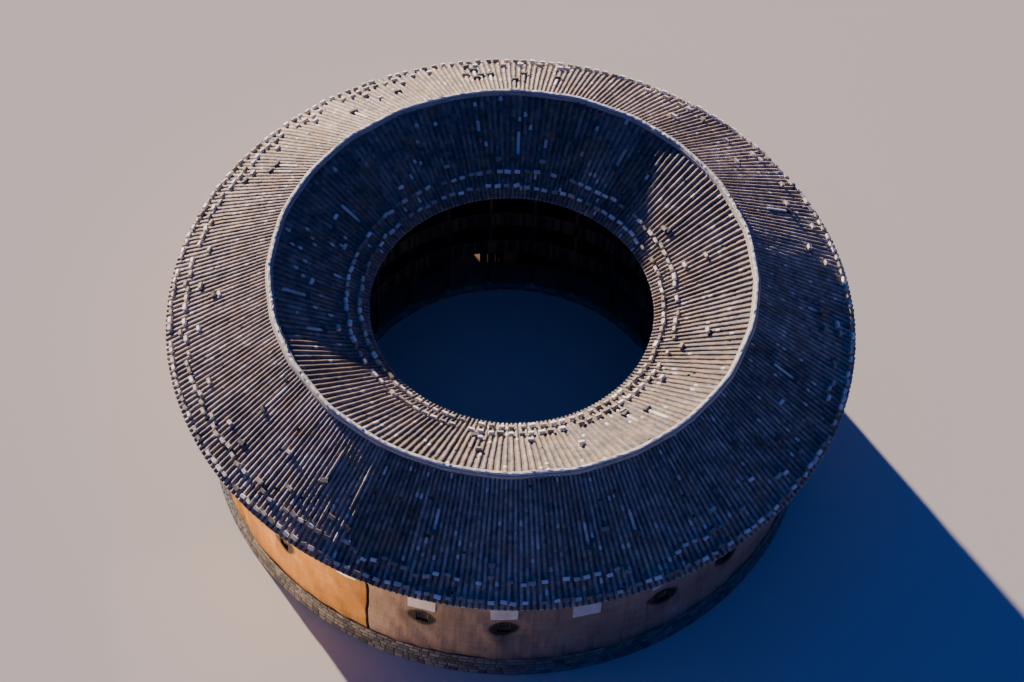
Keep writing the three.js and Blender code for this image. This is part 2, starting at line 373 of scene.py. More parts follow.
@dataclass(frozen=True)
class RammedEarth:
    """Ochre earth rammed between boards: lifts 0.42 m high in lengths of 1.7 m, streaked by rain, with
    painted shade in its crack and along the stretch beyond it.
    """

    name: str = "rammed_earth"
    dark: str = "#7c5a3c"
    middle: str = "#a4722f"
    light: str = "#c08c43"
    # Dark colour of rain streaks and of the painted darkening, painted shade in the crack among it
    streak_and_shade_colour: str = "#29231e"
    pale: str = "#cdbb9b"
    lift_height: float = 0.42
    box_length: float = 1.7
    joint: float = 0.014
    bump: float = 0.03
    roughness: float = 0.93

    def build(self) -> Material:
        """Makes the material.

        Returns:
            The material.
        """
        material, shader = blank_material(self.name, self.roughness)
        tree = material.node_tree
        along = add_node(tree, "ShaderNodeUVMap", {"uv_map": "UVMap"})[0]
        place = add_node(tree, "ShaderNodeTexCoord")["Object"]
        wobble = add_node(tree, "ShaderNodeTexNoise", {"Scale": 1.1, "Detail": 3.0, "Vector": place})["Color"]
        bent = add_node(
            tree, "ShaderNodeVectorMath",
            {"operation": "MULTIPLY_ADD", 0: wobble, 1: (0.14, 0.14, 0.0), 2: along}
        )[0]
        greys = zip(("Color1", "Color2", "Mortar"), (0.43, 0.57, 0.26))
        lifts = add_node(
            tree, "ShaderNodeTexBrick",
            {
                **{name: (grey, grey, grey, 1.0) for name, grey in greys}, "Scale": 1.0,
                "Mortar Size": self.joint, "Mortar Smooth": 1.0, "Brick Width": self.box_length,
                "Row Height": self.lift_height, "Vector": bent
            }
        )
        flattened, drawn_down = (
            add_node(tree, "ShaderNodeMapping", {"Scale": stretch, "Vector": source})[0]
            for source, stretch in ((place, (0.5, 0.5, 6.5)), (along, (2.6, 0.16, 1.0)))
        )
        broad, grit, beds, streaks = (
            add_node(
                tree, "ShaderNodeTexNoise",
                {"Scale": scale, "Detail": detail, "Roughness": roughness, "Vector": source}
            )[0]
            for source, scale, detail, roughness in (
                (place, 0.45, 6.0, 0.62), (place, 14.0, 5.0, 0.7), (flattened, 1.0, 5.0, 0.6),
                (drawn_down, 1.0, 5.0, 0.65)
            )
        )
        tone = add_node(tree, "ShaderNodeMath", {"operation": "MULTIPLY", 0: lifts["Color"], 1: 0.28})[0]
        for layer, share in ((broad, 0.42), (grit, 0.2), (beds, 0.22)):
            tone = add_node(
                tree, "ShaderNodeMath", {"operation": "MULTIPLY_ADD", 0: layer, 1: share, 2: tone}
            )[0]
        stops = [(0.36, linear(self.dark)), (0.54, linear(self.middle)), (0.72, linear(self.light))]
        colour = add_node(tree, "ShaderNodeValToRGB", {"stops": stops, "Fac": tone})["Color"]
        stain, shaded_stretch = (
            add_node(tree, "ShaderNodeAttribute", {"attribute_name": name})["Fac"] for name in (DARK_MARK_AND_SHADE, TONE)
        )
        run = add_node(tree, "ShaderNodeMapRange", {0: streaks, 1: 0.5, 2: 0.72, 4: 0.42})[0]
        # The dark colour takes the rain streaks and the painted darkening, with the crack's painted shade
        darkened_share = add_node(tree, "ShaderNodeMath", {"operation": "ADD", "use_clamp": True, 0: run, 1: stain})[0]
        bleach = add_node(tree, "ShaderNodeMapRange", {0: broad, 1: 0.56, 2: 0.8, 4: 0.35})[0]
        for share, over in ((darkened_share, self.streak_and_shade_colour), (bleach, self.pale)):
            colour = add_node(
                tree, "ShaderNodeMix", {"data_type": "RGBA", 0: share, 6: colour, 7: linear(over)}
            )[2]
        # Painted shade: where the tone attribute is set, past the crack, the earth is painted greyer and
        # darker
        greyed_as_shade = add_node(
            tree, "ShaderNodeHueSaturation",
            {"Saturation": 0.52, "Value": 0.82, "Fac": shaded_stretch, "Color": colour}
        )["Color"]
        tree.links.new(greyed_as_shade, shader.inputs["Base Color"])
        height = add_node(
            tree, "ShaderNodeMath", {"operation": "MULTIPLY_ADD", 0: lifts["Fac"], 1: -0.2, 2: grit}
        )[0]
        relief = add_node(
            tree, "ShaderNodeBump", {"Strength": 1.0, "Distance": self.bump, "Height": height}
        )[0]
        tree.links.new(relief, shader.inputs["Normal"])
        return material


@dataclass(frozen=True)
class FloorBoards:
    """Old fir boards laid outwards from the court, about 0.2 m wide."""

    name: str = "fir_floor_boards"
    boards: float = 360.0
    dark: str = "#3a2c20"
    light: str = "#6a5440"
    joint: str = "#1a130d"
    joint_share: float = 0.06
    roughness: float = 0.78

    def build(self) -> Material:
        """Makes the material.

        Returns:
            The material.
        """
        material, shader = blank_material(self.name, self.roughness)
        tree = material.node_tree
        place = add_node(tree, "ShaderNodeTexCoord")["Object"]
        turn = add_node(tree, "ShaderNodeTexGradient", {"gradient_type": "RADIAL", "Vector": place})["Fac"]
        counted = add_node(tree, "ShaderNodeMath", {"operation": "MULTIPLY", 0: turn, 1: self.boards})[0]
        across, number = (
            add_node(tree, "ShaderNodeMath", {"operation": part, 0: counted})[0]
            for part in ("FRACT", "FLOOR")
        )
        own = add_node(tree, "ShaderNodeTexWhiteNoise", {"noise_dimensions": "1D", "W": number})["Value"]
        grain = add_node(tree, "ShaderNodeTexNoise", {"Scale": 9.0, "Detail": 5.0, "Vector": place})[0]
        mixed = add_node(tree, "ShaderNodeMath", {"operation": "MULTIPLY_ADD", 0: own, 1: 0.5, 2: grain})[0]
        stops = [(0.4, linear(self.dark)), (0.95, linear(self.light))]
        colour = add_node(tree, "ShaderNodeValToRGB", {"stops": stops, "Fac": mixed})["Color"]
        edge = add_node(tree, "ShaderNodeMath", {"operation": "LESS_THAN", 0: across, 1: self.joint_share})[0]
        colours = {6: colour, 7: linear(self.joint)}
        jointed = add_node(tree, "ShaderNodeMix", {"data_type": "RGBA", 0: edge, **colours})[2]
        tree.links.new(jointed, shader.inputs["Base Color"])
        return material


# Grey tiles fired in a kiln full of smoke, dulled by soot and dotted with pale lichen
TILE = RoofTile(
    name="smoked_clay_tile", dark="#4a4948", middle="#897d76", light="#bdab9f", spot="#dcd8cf",
    roughness=0.72, tone_share=0.2, patch_share=0.66, grain_share=0.12, patch_size=0.8, grain_size=0.03,
    spot_size=0.11, spot_level=0.65, spot_strength=0.6, bump=0.004
)
# The same tiles on the court side, painted darker as shade
SHADED_COURT_TILE = replace(TILE, name="dull_clay_tile", middle="#6f645d", light="#9c8b80")
# The troughs between the rows: the same tiles painted darker as shade, with brown moss in patches
SHADED_TROUGH = replace(
    TILE, name="smoked_clay_trough_tile", dark="#343332", middle="#57544f", light="#7f7a73", spot="#8f7c58",
    spot_size=0.8, spot_level=0.56
)
# Lime mortar on the ridge and over the tile ends, grey where rain runs off it
MORTAR = Weathered(
    name="lime_mortar", dark="#7f7c74", middle="#a9a69b", light="#c9c6bb", spot="#5e5d58", tone_share=0.2,
    grain_share=0.35, patch_size=0.7, grain_size=0.04, spot_size=0.3, spot_level=0.62, spot_strength=0.5
)
# Bricks and stones laid on the tiles as weights, many of them limed or bleached
WEIGHT = replace(
    MORTAR, name="bleached_brick", dark="#8a857b", middle="#c9c4b9", light="#f0ede6", spot="#7d786e",
    tone_share=0.6, patch_share=0.25, grain_share=0.2
)
# Lime plaster round the windows, chalky and rain-streaked
PLASTER = Weathered(
    name="lime_plaster", dark="#b2afa8", middle="#dad7d0", light="#eeece8", spot="#7f776a", roughness=0.85,
    patch_size=0.5, grain_stretch=(1.0, 1.0, 0.25), spot_size=0.24, spot_level=0.62, spot_strength=0.5,
    bump=0.003
)
# River stones and split blocks of the plinth, each of its own grey
STONE = Weathered(
    name="river_stone", dark="#4a4d50", middle="#73746f", light="#96928a", spot="#53503f", tone_share=0.34,
    patch_share=0.3, grain_share=0.25, patch_size=0.8, grain_size=0.04, spot_size=0.35, spot_level=0.6,
    spot_strength=0.45, bump=0.008
)
# Clay mortar between the plinth's stones
BEDDING = Weathered(
    name="clay_mortar", dark="#4d453b", middle="#6e6353", light="#8b7e6a", spot="#3d3a33", grain_size=0.03
)
# Dressed granite of the gateway and kerbs
GRANITE = Weathered(
    name="dressed_granite", dark="#6d6b67", middle="#918e88", light="#b3afa6", spot="#4d4b47",
    roughness=0.75, tone_share=0.3, patch_share=0.35, grain_share=0.35, patch_size=0.9, grain_size=0.015,
    spot_size=0.05, spot_level=0.62, bump=0.003
)
# Fir posts, beams and boards, browned by smoke and greyed by weather
TIMBER = Weathered(
    name="smoked_fir", dark="#2b2018", middle="#4f3c2c", light="#7a6149", spot="#8a7f70", roughness=0.75,
    tone_share=0.45, patch_share=0.25, grain_share=0.35, patch_size=1.4, grain_stretch=(1.0, 1.0, 0.12),
    spot_size=0.5, spot_level=0.66, spot_strength=0.35, bump=0.003
)
# Window bars and frames of the same fir, bleached by sun and rain
BLEACHED = replace(TIMBER, name="bleached_fir", dark="#6f5f4a", middle="#a08b6d", light="#cbb896")
# Earth trodden hard behind the kerbs
TRODDEN = Weathered(
    name="trodden_earth", dark="#5b4d3e", middle="#7c6c58", light="#978671", spot="#4a4036", patch_size=1.2,
    grain_size=0.06, spot_size=0.5
)


class Palette:
    """Every finish of the house, made once."""

    def __init__(self) -> None:
        """Makes the materials."""
        self.tile = TILE.build()
        self.shaded_court_tile = SHADED_COURT_TILE.build()
        self.trough = SHADED_TROUGH.build()
        self.mortar = MORTAR.build()
        self.weight = WEIGHT.build()
        self.plaster = PLASTER.build()
        self.stone = STONE.build()
        self.bedding = BEDDING.build()
        self.granite = GRANITE.build()
        self.bleached = BLEACHED.build()
        self.timber = TIMBER.build()
        self.trodden = TRODDEN.build()
        self.earth = RammedEarth().build()
        self.boards = FloorBoards().build()


# Meshes


def shade(mesh: bpy.types.Mesh, smooth: bool) -> None:
    """Shades a mesh flat, or round with its real edges kept sharp.

    Args:
        mesh: The mesh.
        smooth: Whether it is round.
    """
    if smooth:
        mesh.shade_smooth()
        mesh.set_sharp_from_angle(angle=math.radians(50))
    else:
        mesh.shade_flat()


def link_piece(name: str, data: bpy.types.ID) -> bpy.types.Object:
    """Makes an object of a mesh, a lamp or a camera and puts it into the scene.

    Args:
        name: Name of the object.
        data: Its mesh, lamp or camera.

    Returns:
        The object.
    """
    piece = bpy.data.objects.new(name, data)
    bpy.context.scene.collection.objects.link(piece)
    return piece


def turn_faces_out(mesh: bpy.types.Mesh) -> None:
    """Turns every face of closed shapes outwards, and drops corners that no face uses.

    Args:
        mesh: The mesh.
    """
    form = bmesh.new()
    form.from_mesh(mesh)
    loose = [corner for corner in form.verts if not corner.link_faces]
    bmesh.ops.delete(form, geom=loose, context="VERTS")
    bmesh.ops.recalc_face_normals(form, faces=form.faces)
    form.to_mesh(mesh)
    form.free()


def shown(piece: bpy.types.Object, slot: Slot, *nodes: str) -> None:
    """Puts a finished piece on the house.

    Args:
        piece: The piece.
        slot: The record's slot that its finish belongs to; not used.
        nodes: The solids that it stands for, if any.
    """
    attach(piece, BODY)
    if nodes:
        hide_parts(*nodes)
    triangles = sum(len(p.vertices) - 2 for p in piece.data.polygons)
    log.info("%s: %d triangles", piece.name, triangles)


@dataclass
class Parts:
    """Gathers closed shapes into one mesh, with a tone for each."""

    points: list[Point] = field(default_factory=list)
    faces: list[Face] = field(default_factory=list)
    tones: list[float] = field(default_factory=list)

    def add(self, shape: Shape, tone: float = 0.5, place: Matrix = Matrix()) -> None:
        """Adds one closed shape.

        Args:
            shape: Its corners, and its faces by the numbers of their corners.
            tone: From 0 to 1, how light this shape is among its neighbours.
            place: The turn and the shift to where it goes.
        """
        start = len(self.points)
        self.points.extend(tuple(place @ Vector(point)) for point in shape[0])
        self.faces.extend(tuple(start + i for i in face) for face in shape[1])
        self.tones.extend([tone] * len(shape[1]))

    def box(self, x: Span, y: Span, z: Span, chamfer: float = 0.0, tone: float = 0.5) -> None:
        """Adds a squared timber or stone.

        Args:
            x: Where it begins and ends along X.
            y: Where it begins and ends along Y.
            z: Where it begins and ends along Z.
            chamfer: Width cut from the four edges along the longest side.
            tone: How light it is among its neighbours.
        """
        self.add(block(*zip(x, y, z), chamfer), tone)

    def build(self, name: str, material: Material | None, smooth: bool) -> bpy.types.Object:
        """Makes the object.

        Args:
            name: Name of the object.
            material: Its finish, or None for a helper that a node tree copies.
            smooth: Whether its faces are shaded round.

        Returns:
            The object, linked into the scene.
        """
        mesh = bpy.data.meshes.new(name)
        mesh.from_pydata(self.points, [], self.faces)
        if material is not None:
            mesh.materials.append(material)
            mesh.attributes.new(TONE, "FLOAT", "FACE").data.foreach_set("value", self.tones)
        turn_faces_out(mesh)
        shade(mesh, smooth)
        return link_piece(name, mesh)

    def show(self, name: str, material: Material, slot: Slot, *nodes: str, smooth: bool = False) -> None:
        """Makes the object and puts it on the house.

        Args:
            name: Name of the object.
            material: Its finish.
            slot: The record's slot that its finish belongs to.
            nodes: The solids that it stands for, if any.
            smooth: Whether its faces are shaded round.
        """
        shown(self.build(name, material, smooth), slot, *nodes)


def circle(count: int) -> list[float]:
    """Gives evenly spaced angles round a full turn."""
    return [FULL_TURN * i / count for i in range(count)]


def on_ring(radius: float, angle: float, height: float) -> Point:
    """Gives the place at a distance from the axis, a bearing and a height."""
    return (radius * math.cos(angle), radius * math.sin(angle), height)


def lofted(*outlines: Sequence[Sequence[float]]) -> Shape:
    """Joins outlines with equal numbers of corners into one closed shape.

    Args:
        outlines: The outlines, from one flat end to the other.

    Returns:
        Corners and faces of the closed shape.
    """
    count = len(outlines[0])
    last = (len(outlines) - 1) * count
    faces: list[Face] = [tuple(range(count)), tuple(range(last + count - 1, last - 1, -1))]
    for base in range(0, last, count):
        for i in range(count):
            j = (i + 1) % count
            faces.append((base + i, base + j, base + count + j, base + count + i))
    return [corner for outline in outlines for corner in outline], faces


def block(low: Point, high: Point, chamfer: float = 0.0) -> Shape:
    """A squared timber or stone, with its long edges chamfered where a chamfer is given.

    Args:
        low: Lowest corner.
        high: Highest corner.
        chamfer: Width cut from the four edges along the longest side.

    Returns:
        Corners and faces of the closed shape.
    """
    sizes = [high[i] - low[i] for i in range(3)]
    axis = sizes.index(max(sizes))
    first, second = (i for i in range(3) if i != axis)
    corners = [(0, 0, 0, 0), (1, 0, 0, 0), (1, 1, 0, 0), (0, 1, 0, 0)]
    if chamfer > 0:
        corners = [(0, 0, 0, 1), (0, 0, 1, 0), (1, 0, -1, 0), (1, 0, 0, 1)]
        corners += [(1, 1, 0, -1), (1, 1, -1, 0), (0, 1, 1, 0), (0, 1, 0, -1)]
    outlines: list[list[list[float]]] = [[], []]
    for outline, end in zip(outlines, (low[axis], high[axis])):
        for u, v, du, dv in corners:
            point = [end, end, end]
            point[first] = low[first] + u * sizes[first] + du * chamfer
            point[second] = low[second] + v * sizes[second] + dv * chamfer
            outline.append(point)
    return lofted(*outlines)


def pole(start: Point, end: Point, radius: float, end_radius: float, sides: int = 7) -> Shape:
    """A round pole that tapers from one end to the other.

    Args:
        start: Middle of the thick end.
        end: Middle of the thin end.
        radius: Radius at the thick end.
        end_radius: Radius at the thin end.
        sides: Number of flat sides.

    Returns:
        Corners and faces of the closed shape.
    """
    turn = (Vector(end) - Vector(start)).to_track_quat("Z", "Y")
    return lofted(
        *(
            [Vector(middle) + turn @ Vector(on_ring(size, angle, 0)) for angle in circle(sides)]
            for middle, size in ((start, radius), (end, end_radius))
        )
    )


def swept_ring(sections: np.ndarray, start: float = 0.0, sweep: float = FULL_TURN) -> Shape:
    """Sweeps a closed section round the axis.

    Args:
        sections: Radius and height of each section point at each step, as steps x points x 2.
        start: Angle of the first step.
        sweep: Angle covered. A full turn closes on itself, and a part of one gets flat ends.

    Returns:
        Corners and faces of the closed shape.
    """
    steps, around = sections.shape[:2]
    whole = abs(sweep - FULL_TURN) < 1e-6
    runs = steps if whole else steps - 1
    angles = (start + sweep * np.arange(steps) / runs)[:, None]
    radius, height = sections[..., 0], sections[..., 1]
    points = np.stack([radius * np.cos(angles), radius * np.sin(angles), height], axis=-1).reshape(-1, 3)
    faces: list[Face] = []
    for i in range(runs):
        a, b = i * around, ((i + 1) % steps) * around
        for j in range(around):
            k = (j + 1) % around
            faces.append((a + j, a + k, b + k, b + j))
    if not whole:
        faces += [tuple(range(around)), tuple(range(runs * around, steps * around))]
    return points, faces


def plain_ring(section: Sequence[tuple[float, float]], steps: int = 144) -> Shape:
    """Sweeps one section a full turn round the axis.

    Args:
        section: Radius and height of each of its points.
        steps: Number of flat sides.

    Returns:
        Corners and faces of the closed shape.
    """
    return swept_ring(np.repeat(np.array([section], dtype=float), steps, axis=0))


# Node trees that repeat a shape


def new_tree(name: str, **inputs: Sequence[str]) -> tuple[Tree, bpy.types.NodeOutputs]:
    """Starts a geometry tree with named inputs.

    Args:
        name: Name of the tree.
        inputs: Names of the inputs of each kind, such as Float.

    Returns:
        The tree and the outputs of its group input node.
    """
    tree = bpy.data.node_groups.new(name, "GeometryNodeTree")
    for kind, labels in inputs.items():
        for label in labels:
            tree.interface.new_socket(label, in_out="INPUT", socket_type="NodeSocket" + kind)
    tree.interface.new_socket("Geometry", in_out="OUTPUT", socket_type="NodeSocketGeometry")
    return tree, add_node(tree, "NodeGroupInput")


def finish_tree(tree: Tree, given: bpy.types.NodeOutputs, instances: Socket) -> Tree:
    """Gives each copy its own tone, makes the copies real and sets their finish.

    Args:
        tree: The tree to end.
        given: Its inputs, with a Seed and a Finish.
        instances: The placed copies.

    Returns:
        The same tree.
    """
    own = add_node(tree, "FunctionNodeRandomValue", {"data_type": "FLOAT", "Seed": given["Seed"]})[1]
    stored = {"data_type": "FLOAT", "domain": "INSTANCE", "Name": TONE, "Geometry": instances, "Value": own}
    toned = add_node(tree, "GeometryNodeStoreNamedAttribute", stored)[0]
    real = add_node(tree, "GeometryNodeRealizeInstances", {0: toned})[0]
    done = add_node(tree, "GeometryNodeSetMaterial", {"Geometry": real, "Material": given["Finish"]})[0]
    add_node(tree, "NodeGroupOutput", {0: done})
    return tree


def ring_copies_tree() -> Tree:
    """Makes the tree that repeats a shape round the axis, each copy a little out of place.

    Returns:
        The tree, with inputs Shape, Count, First angle, Step, Wander, Seed and Finish.
    """
    tree, given = new_tree(
        "ring_copies", Object=["Shape"], Int=["Count", "Seed"], Float=["First angle", "Step"],
        Vector=["Wander"], Material=["Finish"]
    )
    line = add_node(tree, "GeometryNodeMeshLine", {"Offset": (0.0, 0.0, 0.0), "Count": given["Count"]})[0]
    index = add_node(tree, "GeometryNodeInputIndex")[0]
    angle = add_node(
        tree, "ShaderNodeMath",
        {"operation": "MULTIPLY_ADD", 0: index, 1: given["Step"], 2: given["First angle"]}
    )[0]
    euler = add_node(tree, "ShaderNodeCombineXYZ", {"Z": angle})[0]
    turn = add_node(tree, "FunctionNodeEulerToRotation", {0: euler})[0]
    whole = {"As Instance": True, "Object": given["Shape"]}
    shape = add_node(tree, "GeometryNodeObjectInfo", whole)["Geometry"]
    placed = add_node(
        tree, "GeometryNodeInstanceOnPoints", {"Points": line, "Instance": shape, "Rotation": turn}
    )[0]
    most = given["Wander"]
    least = add_node(tree, "ShaderNodeVectorMath", {"operation": "SCALE", 0: most, "Scale": -1.0})[0]
    wander = {"data_type": "FLOAT_VECTOR", 0: least, 1: most, "Seed": given["Seed"]}
    shift = add_node(tree, "FunctionNodeRandomValue", wander)[0]
    moved = add_node(
        tree, "GeometryNodeTranslateInstances",
        {"Local Space": True, "Instances": placed, "Translation": shift}
    )[0]
    return finish_tree(tree, given, moved)


def tile_field_tree() -> Tree:
    """Makes the tree that lays tiles in rows up a ring-shaped slope.

    Rows run up the slope and draw together towards the smaller circle, so each tile is as wide as
    its row. A tile lies a little askew, and one in a hundred has slipped.

    Returns:
        The tree, with inputs for the shape, the counts, the two circles and the wander.
    """
    tree, given = new_tree(
        "tile_field", Object=["Shape"], Int=["Rows", "Courses", "Seed"], Material=["Finish"],
        Float=[
            "Middle angle", "Sweep", "Low radius", "High radius", "Low height", "High height", "Facing",
            "Tilt", "Bay angle", "Bay step", "Full width radius"
        ]
    )
    grid = add_node(
        tree, "GeometryNodeMeshGrid",
        {"Size X": 1.0, "Size Y": 1.0, "Vertices X": given["Rows"], "Vertices Y": given["Courses"]}
    )[0]
    position = add_node(tree, "GeometryNodeInputPosition")[0]
    flat = add_node(tree, "ShaderNodeSeparateXYZ", {0: position})
    angle = add_node(
        tree, "ShaderNodeMath",
        {"operation": "MULTIPLY_ADD", 0: flat["X"], 1: given["Sweep"], 2: given["Middle angle"]}
    )[0]
    radius, height = (
        add_node(
            tree, "ShaderNodeMapRange",
            {0: flat["Y"], 1: -0.5, 2: 0.5, 3: given["Low " + size], 4: given["High " + size]}
        )[0]
        for size in ("radius", "height")
    )
    cosine, sine = (
        add_node(tree, "ShaderNodeMath", {"operation": part, 0: angle})[0] for part in ("COSINE", "SINE")
    )
    x, y = (
        add_node(tree, "ShaderNodeMath", {"operation": "MULTIPLY", 0: part, 1: radius})[0]
        for part in (cosine, sine)
    )
    # The bays of a hand-built roof lie a little higher or lower than their neighbours, and sag
    bay = add_node(tree, "ShaderNodeMath", {"operation": "DIVIDE", 0: angle, 1: given["Bay angle"]})[0]
    number = add_node(tree, "ShaderNodeMath", {"operation": "FLOOR", 0: bay})[0]
    own = add_node(tree, "ShaderNodeTexWhiteNoise", {"noise_dimensions": "1D", "W": number})["Value"]
    raised = add_node(
        tree, "ShaderNodeMath", {"operation": "MULTIPLY_ADD", 0: own, 1: given["Bay step"], 2: height}
    )[0]
    spot = add_node(tree, "ShaderNodeCombineXYZ", {"X": x, "Y": y, "Z": raised})[0]
    sag = add_node(tree, "ShaderNodeTexNoise", {"Scale": 0.45, "Detail": 2.0, "Vector": spot})["Color"]
    level = add_node(tree, "ShaderNodeVectorMath", {"operation": "SUBTRACT", 0: sag, 1: (0.5, 0.5, 0.5)})[0]
    sagged = add_node(
        tree, "ShaderNodeVectorMath",
        {"operation": "MULTIPLY_ADD", 0: level, 1: (0.06, 0.06, 0.09), 2: spot}
    )[0]
    laid = add_node(tree, "GeometryNodeSetPosition", {"Geometry": grid, "Position": sagged})[0]
    # Each tile points up the slope from where it now lies, and is as wide as its row there
    now = add_node(tree, "ShaderNodeSeparateXYZ", {0: position})
    bearing = add_node(tree, "ShaderNodeMath", {"operation": "ARCTAN2", 0: now["Y"], 1: now["X"]})[0]
    heading = add_node(tree, "ShaderNodeMath", {"operation": "ADD", 0: bearing, 1: given["Facing"]})[0]
    euler = add_node(tree, "ShaderNodeCombineXYZ", {"X": given["Tilt"], "Z": heading})[0]
    turn = add_node(tree, "FunctionNodeEulerToRotation", {0: euler})[0]
    level_spot = add_node(tree, "ShaderNodeCombineXYZ", {"X": now["X"], "Y": now["Y"]})[0]
    reach = add_node(tree, "ShaderNodeVectorMath", {"operation": "LENGTH", 0: level_spot})["Value"]
    width = add_node(
        tree, "ShaderNodeMath", {"operation": "DIVIDE", 0: reach, 1: given["Full width radius"]}
    )[0]
    scale = add_node(tree, "ShaderNodeCombineXYZ", {"X": width, "Y": 1.0, "Z": 1.0})[0]
    whole = {"As Instance": True, "Object": given["Shape"]}
    shape = add_node(tree, "GeometryNodeObjectInfo", whole)["Geometry"]
    kept, slipped = (
        add_node(
            tree, "FunctionNodeRandomValue",
            {"data_type": "BOOLEAN", "Probability": share, "Seed": given["Seed"]}
        )[3]
        for share in (0.995, 0.012)
    )
    placed = add_node(
        tree, "GeometryNodeInstanceOnPoints",
        {"Points": laid, "Selection": kept, "Instance": shape, "Rotation": turn, "Scale": scale}
    )[0]
    askew, yaw = (
        add_node(
            tree, "FunctionNodeRandomValue",
            {
                "data_type": "FLOAT_VECTOR", 0: tuple(-most for most in wander), 1: wander,
                "Seed": given["Seed"]
            }
        )[0]
        for wander in ((0.008, 0.02, 0.006), (0.0, 0.05, 0.025))
    )
    moved = add_node(
        tree, "GeometryNodeTranslateInstances",
        {"Local Space": True, "Instances": placed, "Translation": askew}
    )[0]
    more = add_node(tree, "ShaderNodeMath", {"operation": "MULTIPLY_ADD", 0: slipped, 1: 5.0, 2: 1.0})[0]
    twist = add_node(tree, "ShaderNodeVectorMath", {"operation": "SCALE", 0: yaw, "Scale": more})[0]
    twist_turn = add_node(tree, "FunctionNodeEulerToRotation", {0: twist})[0]
    twisted = add_node(
        tree, "GeometryNodeRotateInstances",
        {"Local Space": True, "Instances": moved, "Rotation": twist_turn}
    )[0]
    return finish_tree(tree, given, twisted)


def grown(name: str, shape: Parts, tree: Tree, smooth: bool, values: dict[str, Any]) -> bpy.types.Object:
    """Runs a tree once on a shape and keeps its result as a plain mesh.

    Args:
        name: Name of the new object.
        shape: The shape that the tree repeats.
        tree: The tree to run.
        smooth: Whether the faces are shaded round.
        values: Its other input values, by the names of the inputs.

    Returns:
        The object, with no modifier left on it.
    """
    helper = shape.build(name + "_shape", None, smooth)
    piece = link_piece(name, bpy.data.meshes.new(name))
    modifier = piece.modifiers.new("Copies", "NODES")
    modifier.node_group = tree
    for item in tree.interface.items_tree:
        if item.in_out == "INPUT":
            modifier[item.identifier] = helper if item.name == "Shape" else values[item.name]
    graph = bpy.context.evaluated_depsgraph_get()
    made = bpy.data.meshes.new_from_object(
        piece.evaluated_get(graph), preserve_all_data_layers=True, depsgraph=graph
    )
    piece.modifiers.remove(modifier)
    piece.data = made
    made.name = name
    shade(made, smooth)
    bpy.data.objects.remove(helper)
    return piece


class Workshop:
    """Holds the finishes and the trees, and repeats shapes with them."""

    def __init__(self) -> None:
        """Makes the finishes and the trees."""
        self.palette = Palette()
        self.ring_copies = ring_copies_tree()
        self.tile_field = tile_field_tree()

    def around(
        self, name: str, shape: Parts, material: Material, slot: Slot, *nodes: str, count: int = HOUSE.bays,
        first: float = 0.0, step: float | None = None, wander: Point = (0.0, 0.0, 0.0), seed: int = 1,
        smooth: bool = False
    ) -> None:
        """Repeats a shape round the axis and puts the copies on the house.

        Args:
            name: Name of the piece.
            shape: The shape as it stands on the +X side.
            material: Its finish.
            slot: The record's slot that its finish belongs to.
            nodes: The solids that it stands for, if any.
            count: Number of copies.
            first: Angle of the first copy.
            step: Angle between copies, or None for an even ring.
            wander: The most that a copy is out of place, outwards, sideways and upwards.
            seed: Seed of what is random.
            smooth: Whether the faces are shaded round.
        """
        values = {
            "Count": count, "First angle": first, "Step": FULL_TURN / count if step is None else step,
            "Wander": wander, "Seed": seed, "Finish": material
        }
        shown(grown(name, shape, self.ring_copies, smooth, values), slot, *nodes)


# Roof


@dataclass(frozen=True)
class WeightRow:
    """A row of weights round a slope, of which some are missing."""

    distance: float
    spacing: float = 0.53
    kept: float = 0.95
    scatter: float = 0.035
    thinned: float = 0.0


@dataclass(frozen=True)
class SlopePlan:
    """What sets one slope of the roof apart from the other."""

    side: Slope
    outward: int
    eave: float
    eave_height: float
    rows: int
    rafters: int
    weight_seed: int
    weight_rows: tuple[WeightRow, ...]
    mended: int

    @property
    def tilt(self) -> float:
        """How steep the slope is, in radians."""
        return math.atan2(HOUSE.ridge_height - self.eave_height, abs(HOUSE.ridge - self.eave))

    @property
    def length(self) -> float:
        """Length of the slope from its eave to the ridge."""
        return math.hypot(HOUSE.ridge - self.eave, HOUSE.ridge_height - self.eave_height)

    def place(self, along: float, angle: float) -> Matrix:
        """Gives a place on the slope, with Y up the slope and Z out of it.

        Args:
            along: Distance from the eave, up the slope.
            angle: Bearing of the place.

        Returns:
            The turn and the shift to that place.
        """
        radius = self.eave - self.outward * along * math.cos(self.tilt)
        spot = on_ring(radius, angle, self.eave_height + along * math.sin(self.tilt))
        facing = Matrix.Rotation(angle + self.outward * QUARTER, 4, "Z")
        return Matrix.Translation(spot) @ facing @ Matrix.Rotation(self.tilt, 4, "X")


LONE_WEIGHTS = (WeightRow(2.2, 2.8, 0.6), WeightRow(3.5, 5.5, 0.5))
SLOPES = (
    SlopePlan(
        Slope.OUTER, 1, *HOUSE.outer_eave, rows=360, rafters=240, weight_seed=400,
        weight_rows=(WeightRow(0.34), WeightRow(1.28, kept=0.62, scatter=0.1, thinned=0.3), *LONE_WEIGHTS),
        mended=26
    ),
    SlopePlan(
        Slope.INNER, -1, *HOUSE.inner_eave, rows=216, rafters=120, weight_seed=256,
        weight_rows=(WeightRow(0.62), WeightRow(1.45, kept=0.88), *LONE_WEIGHTS), mended=12
    )
)


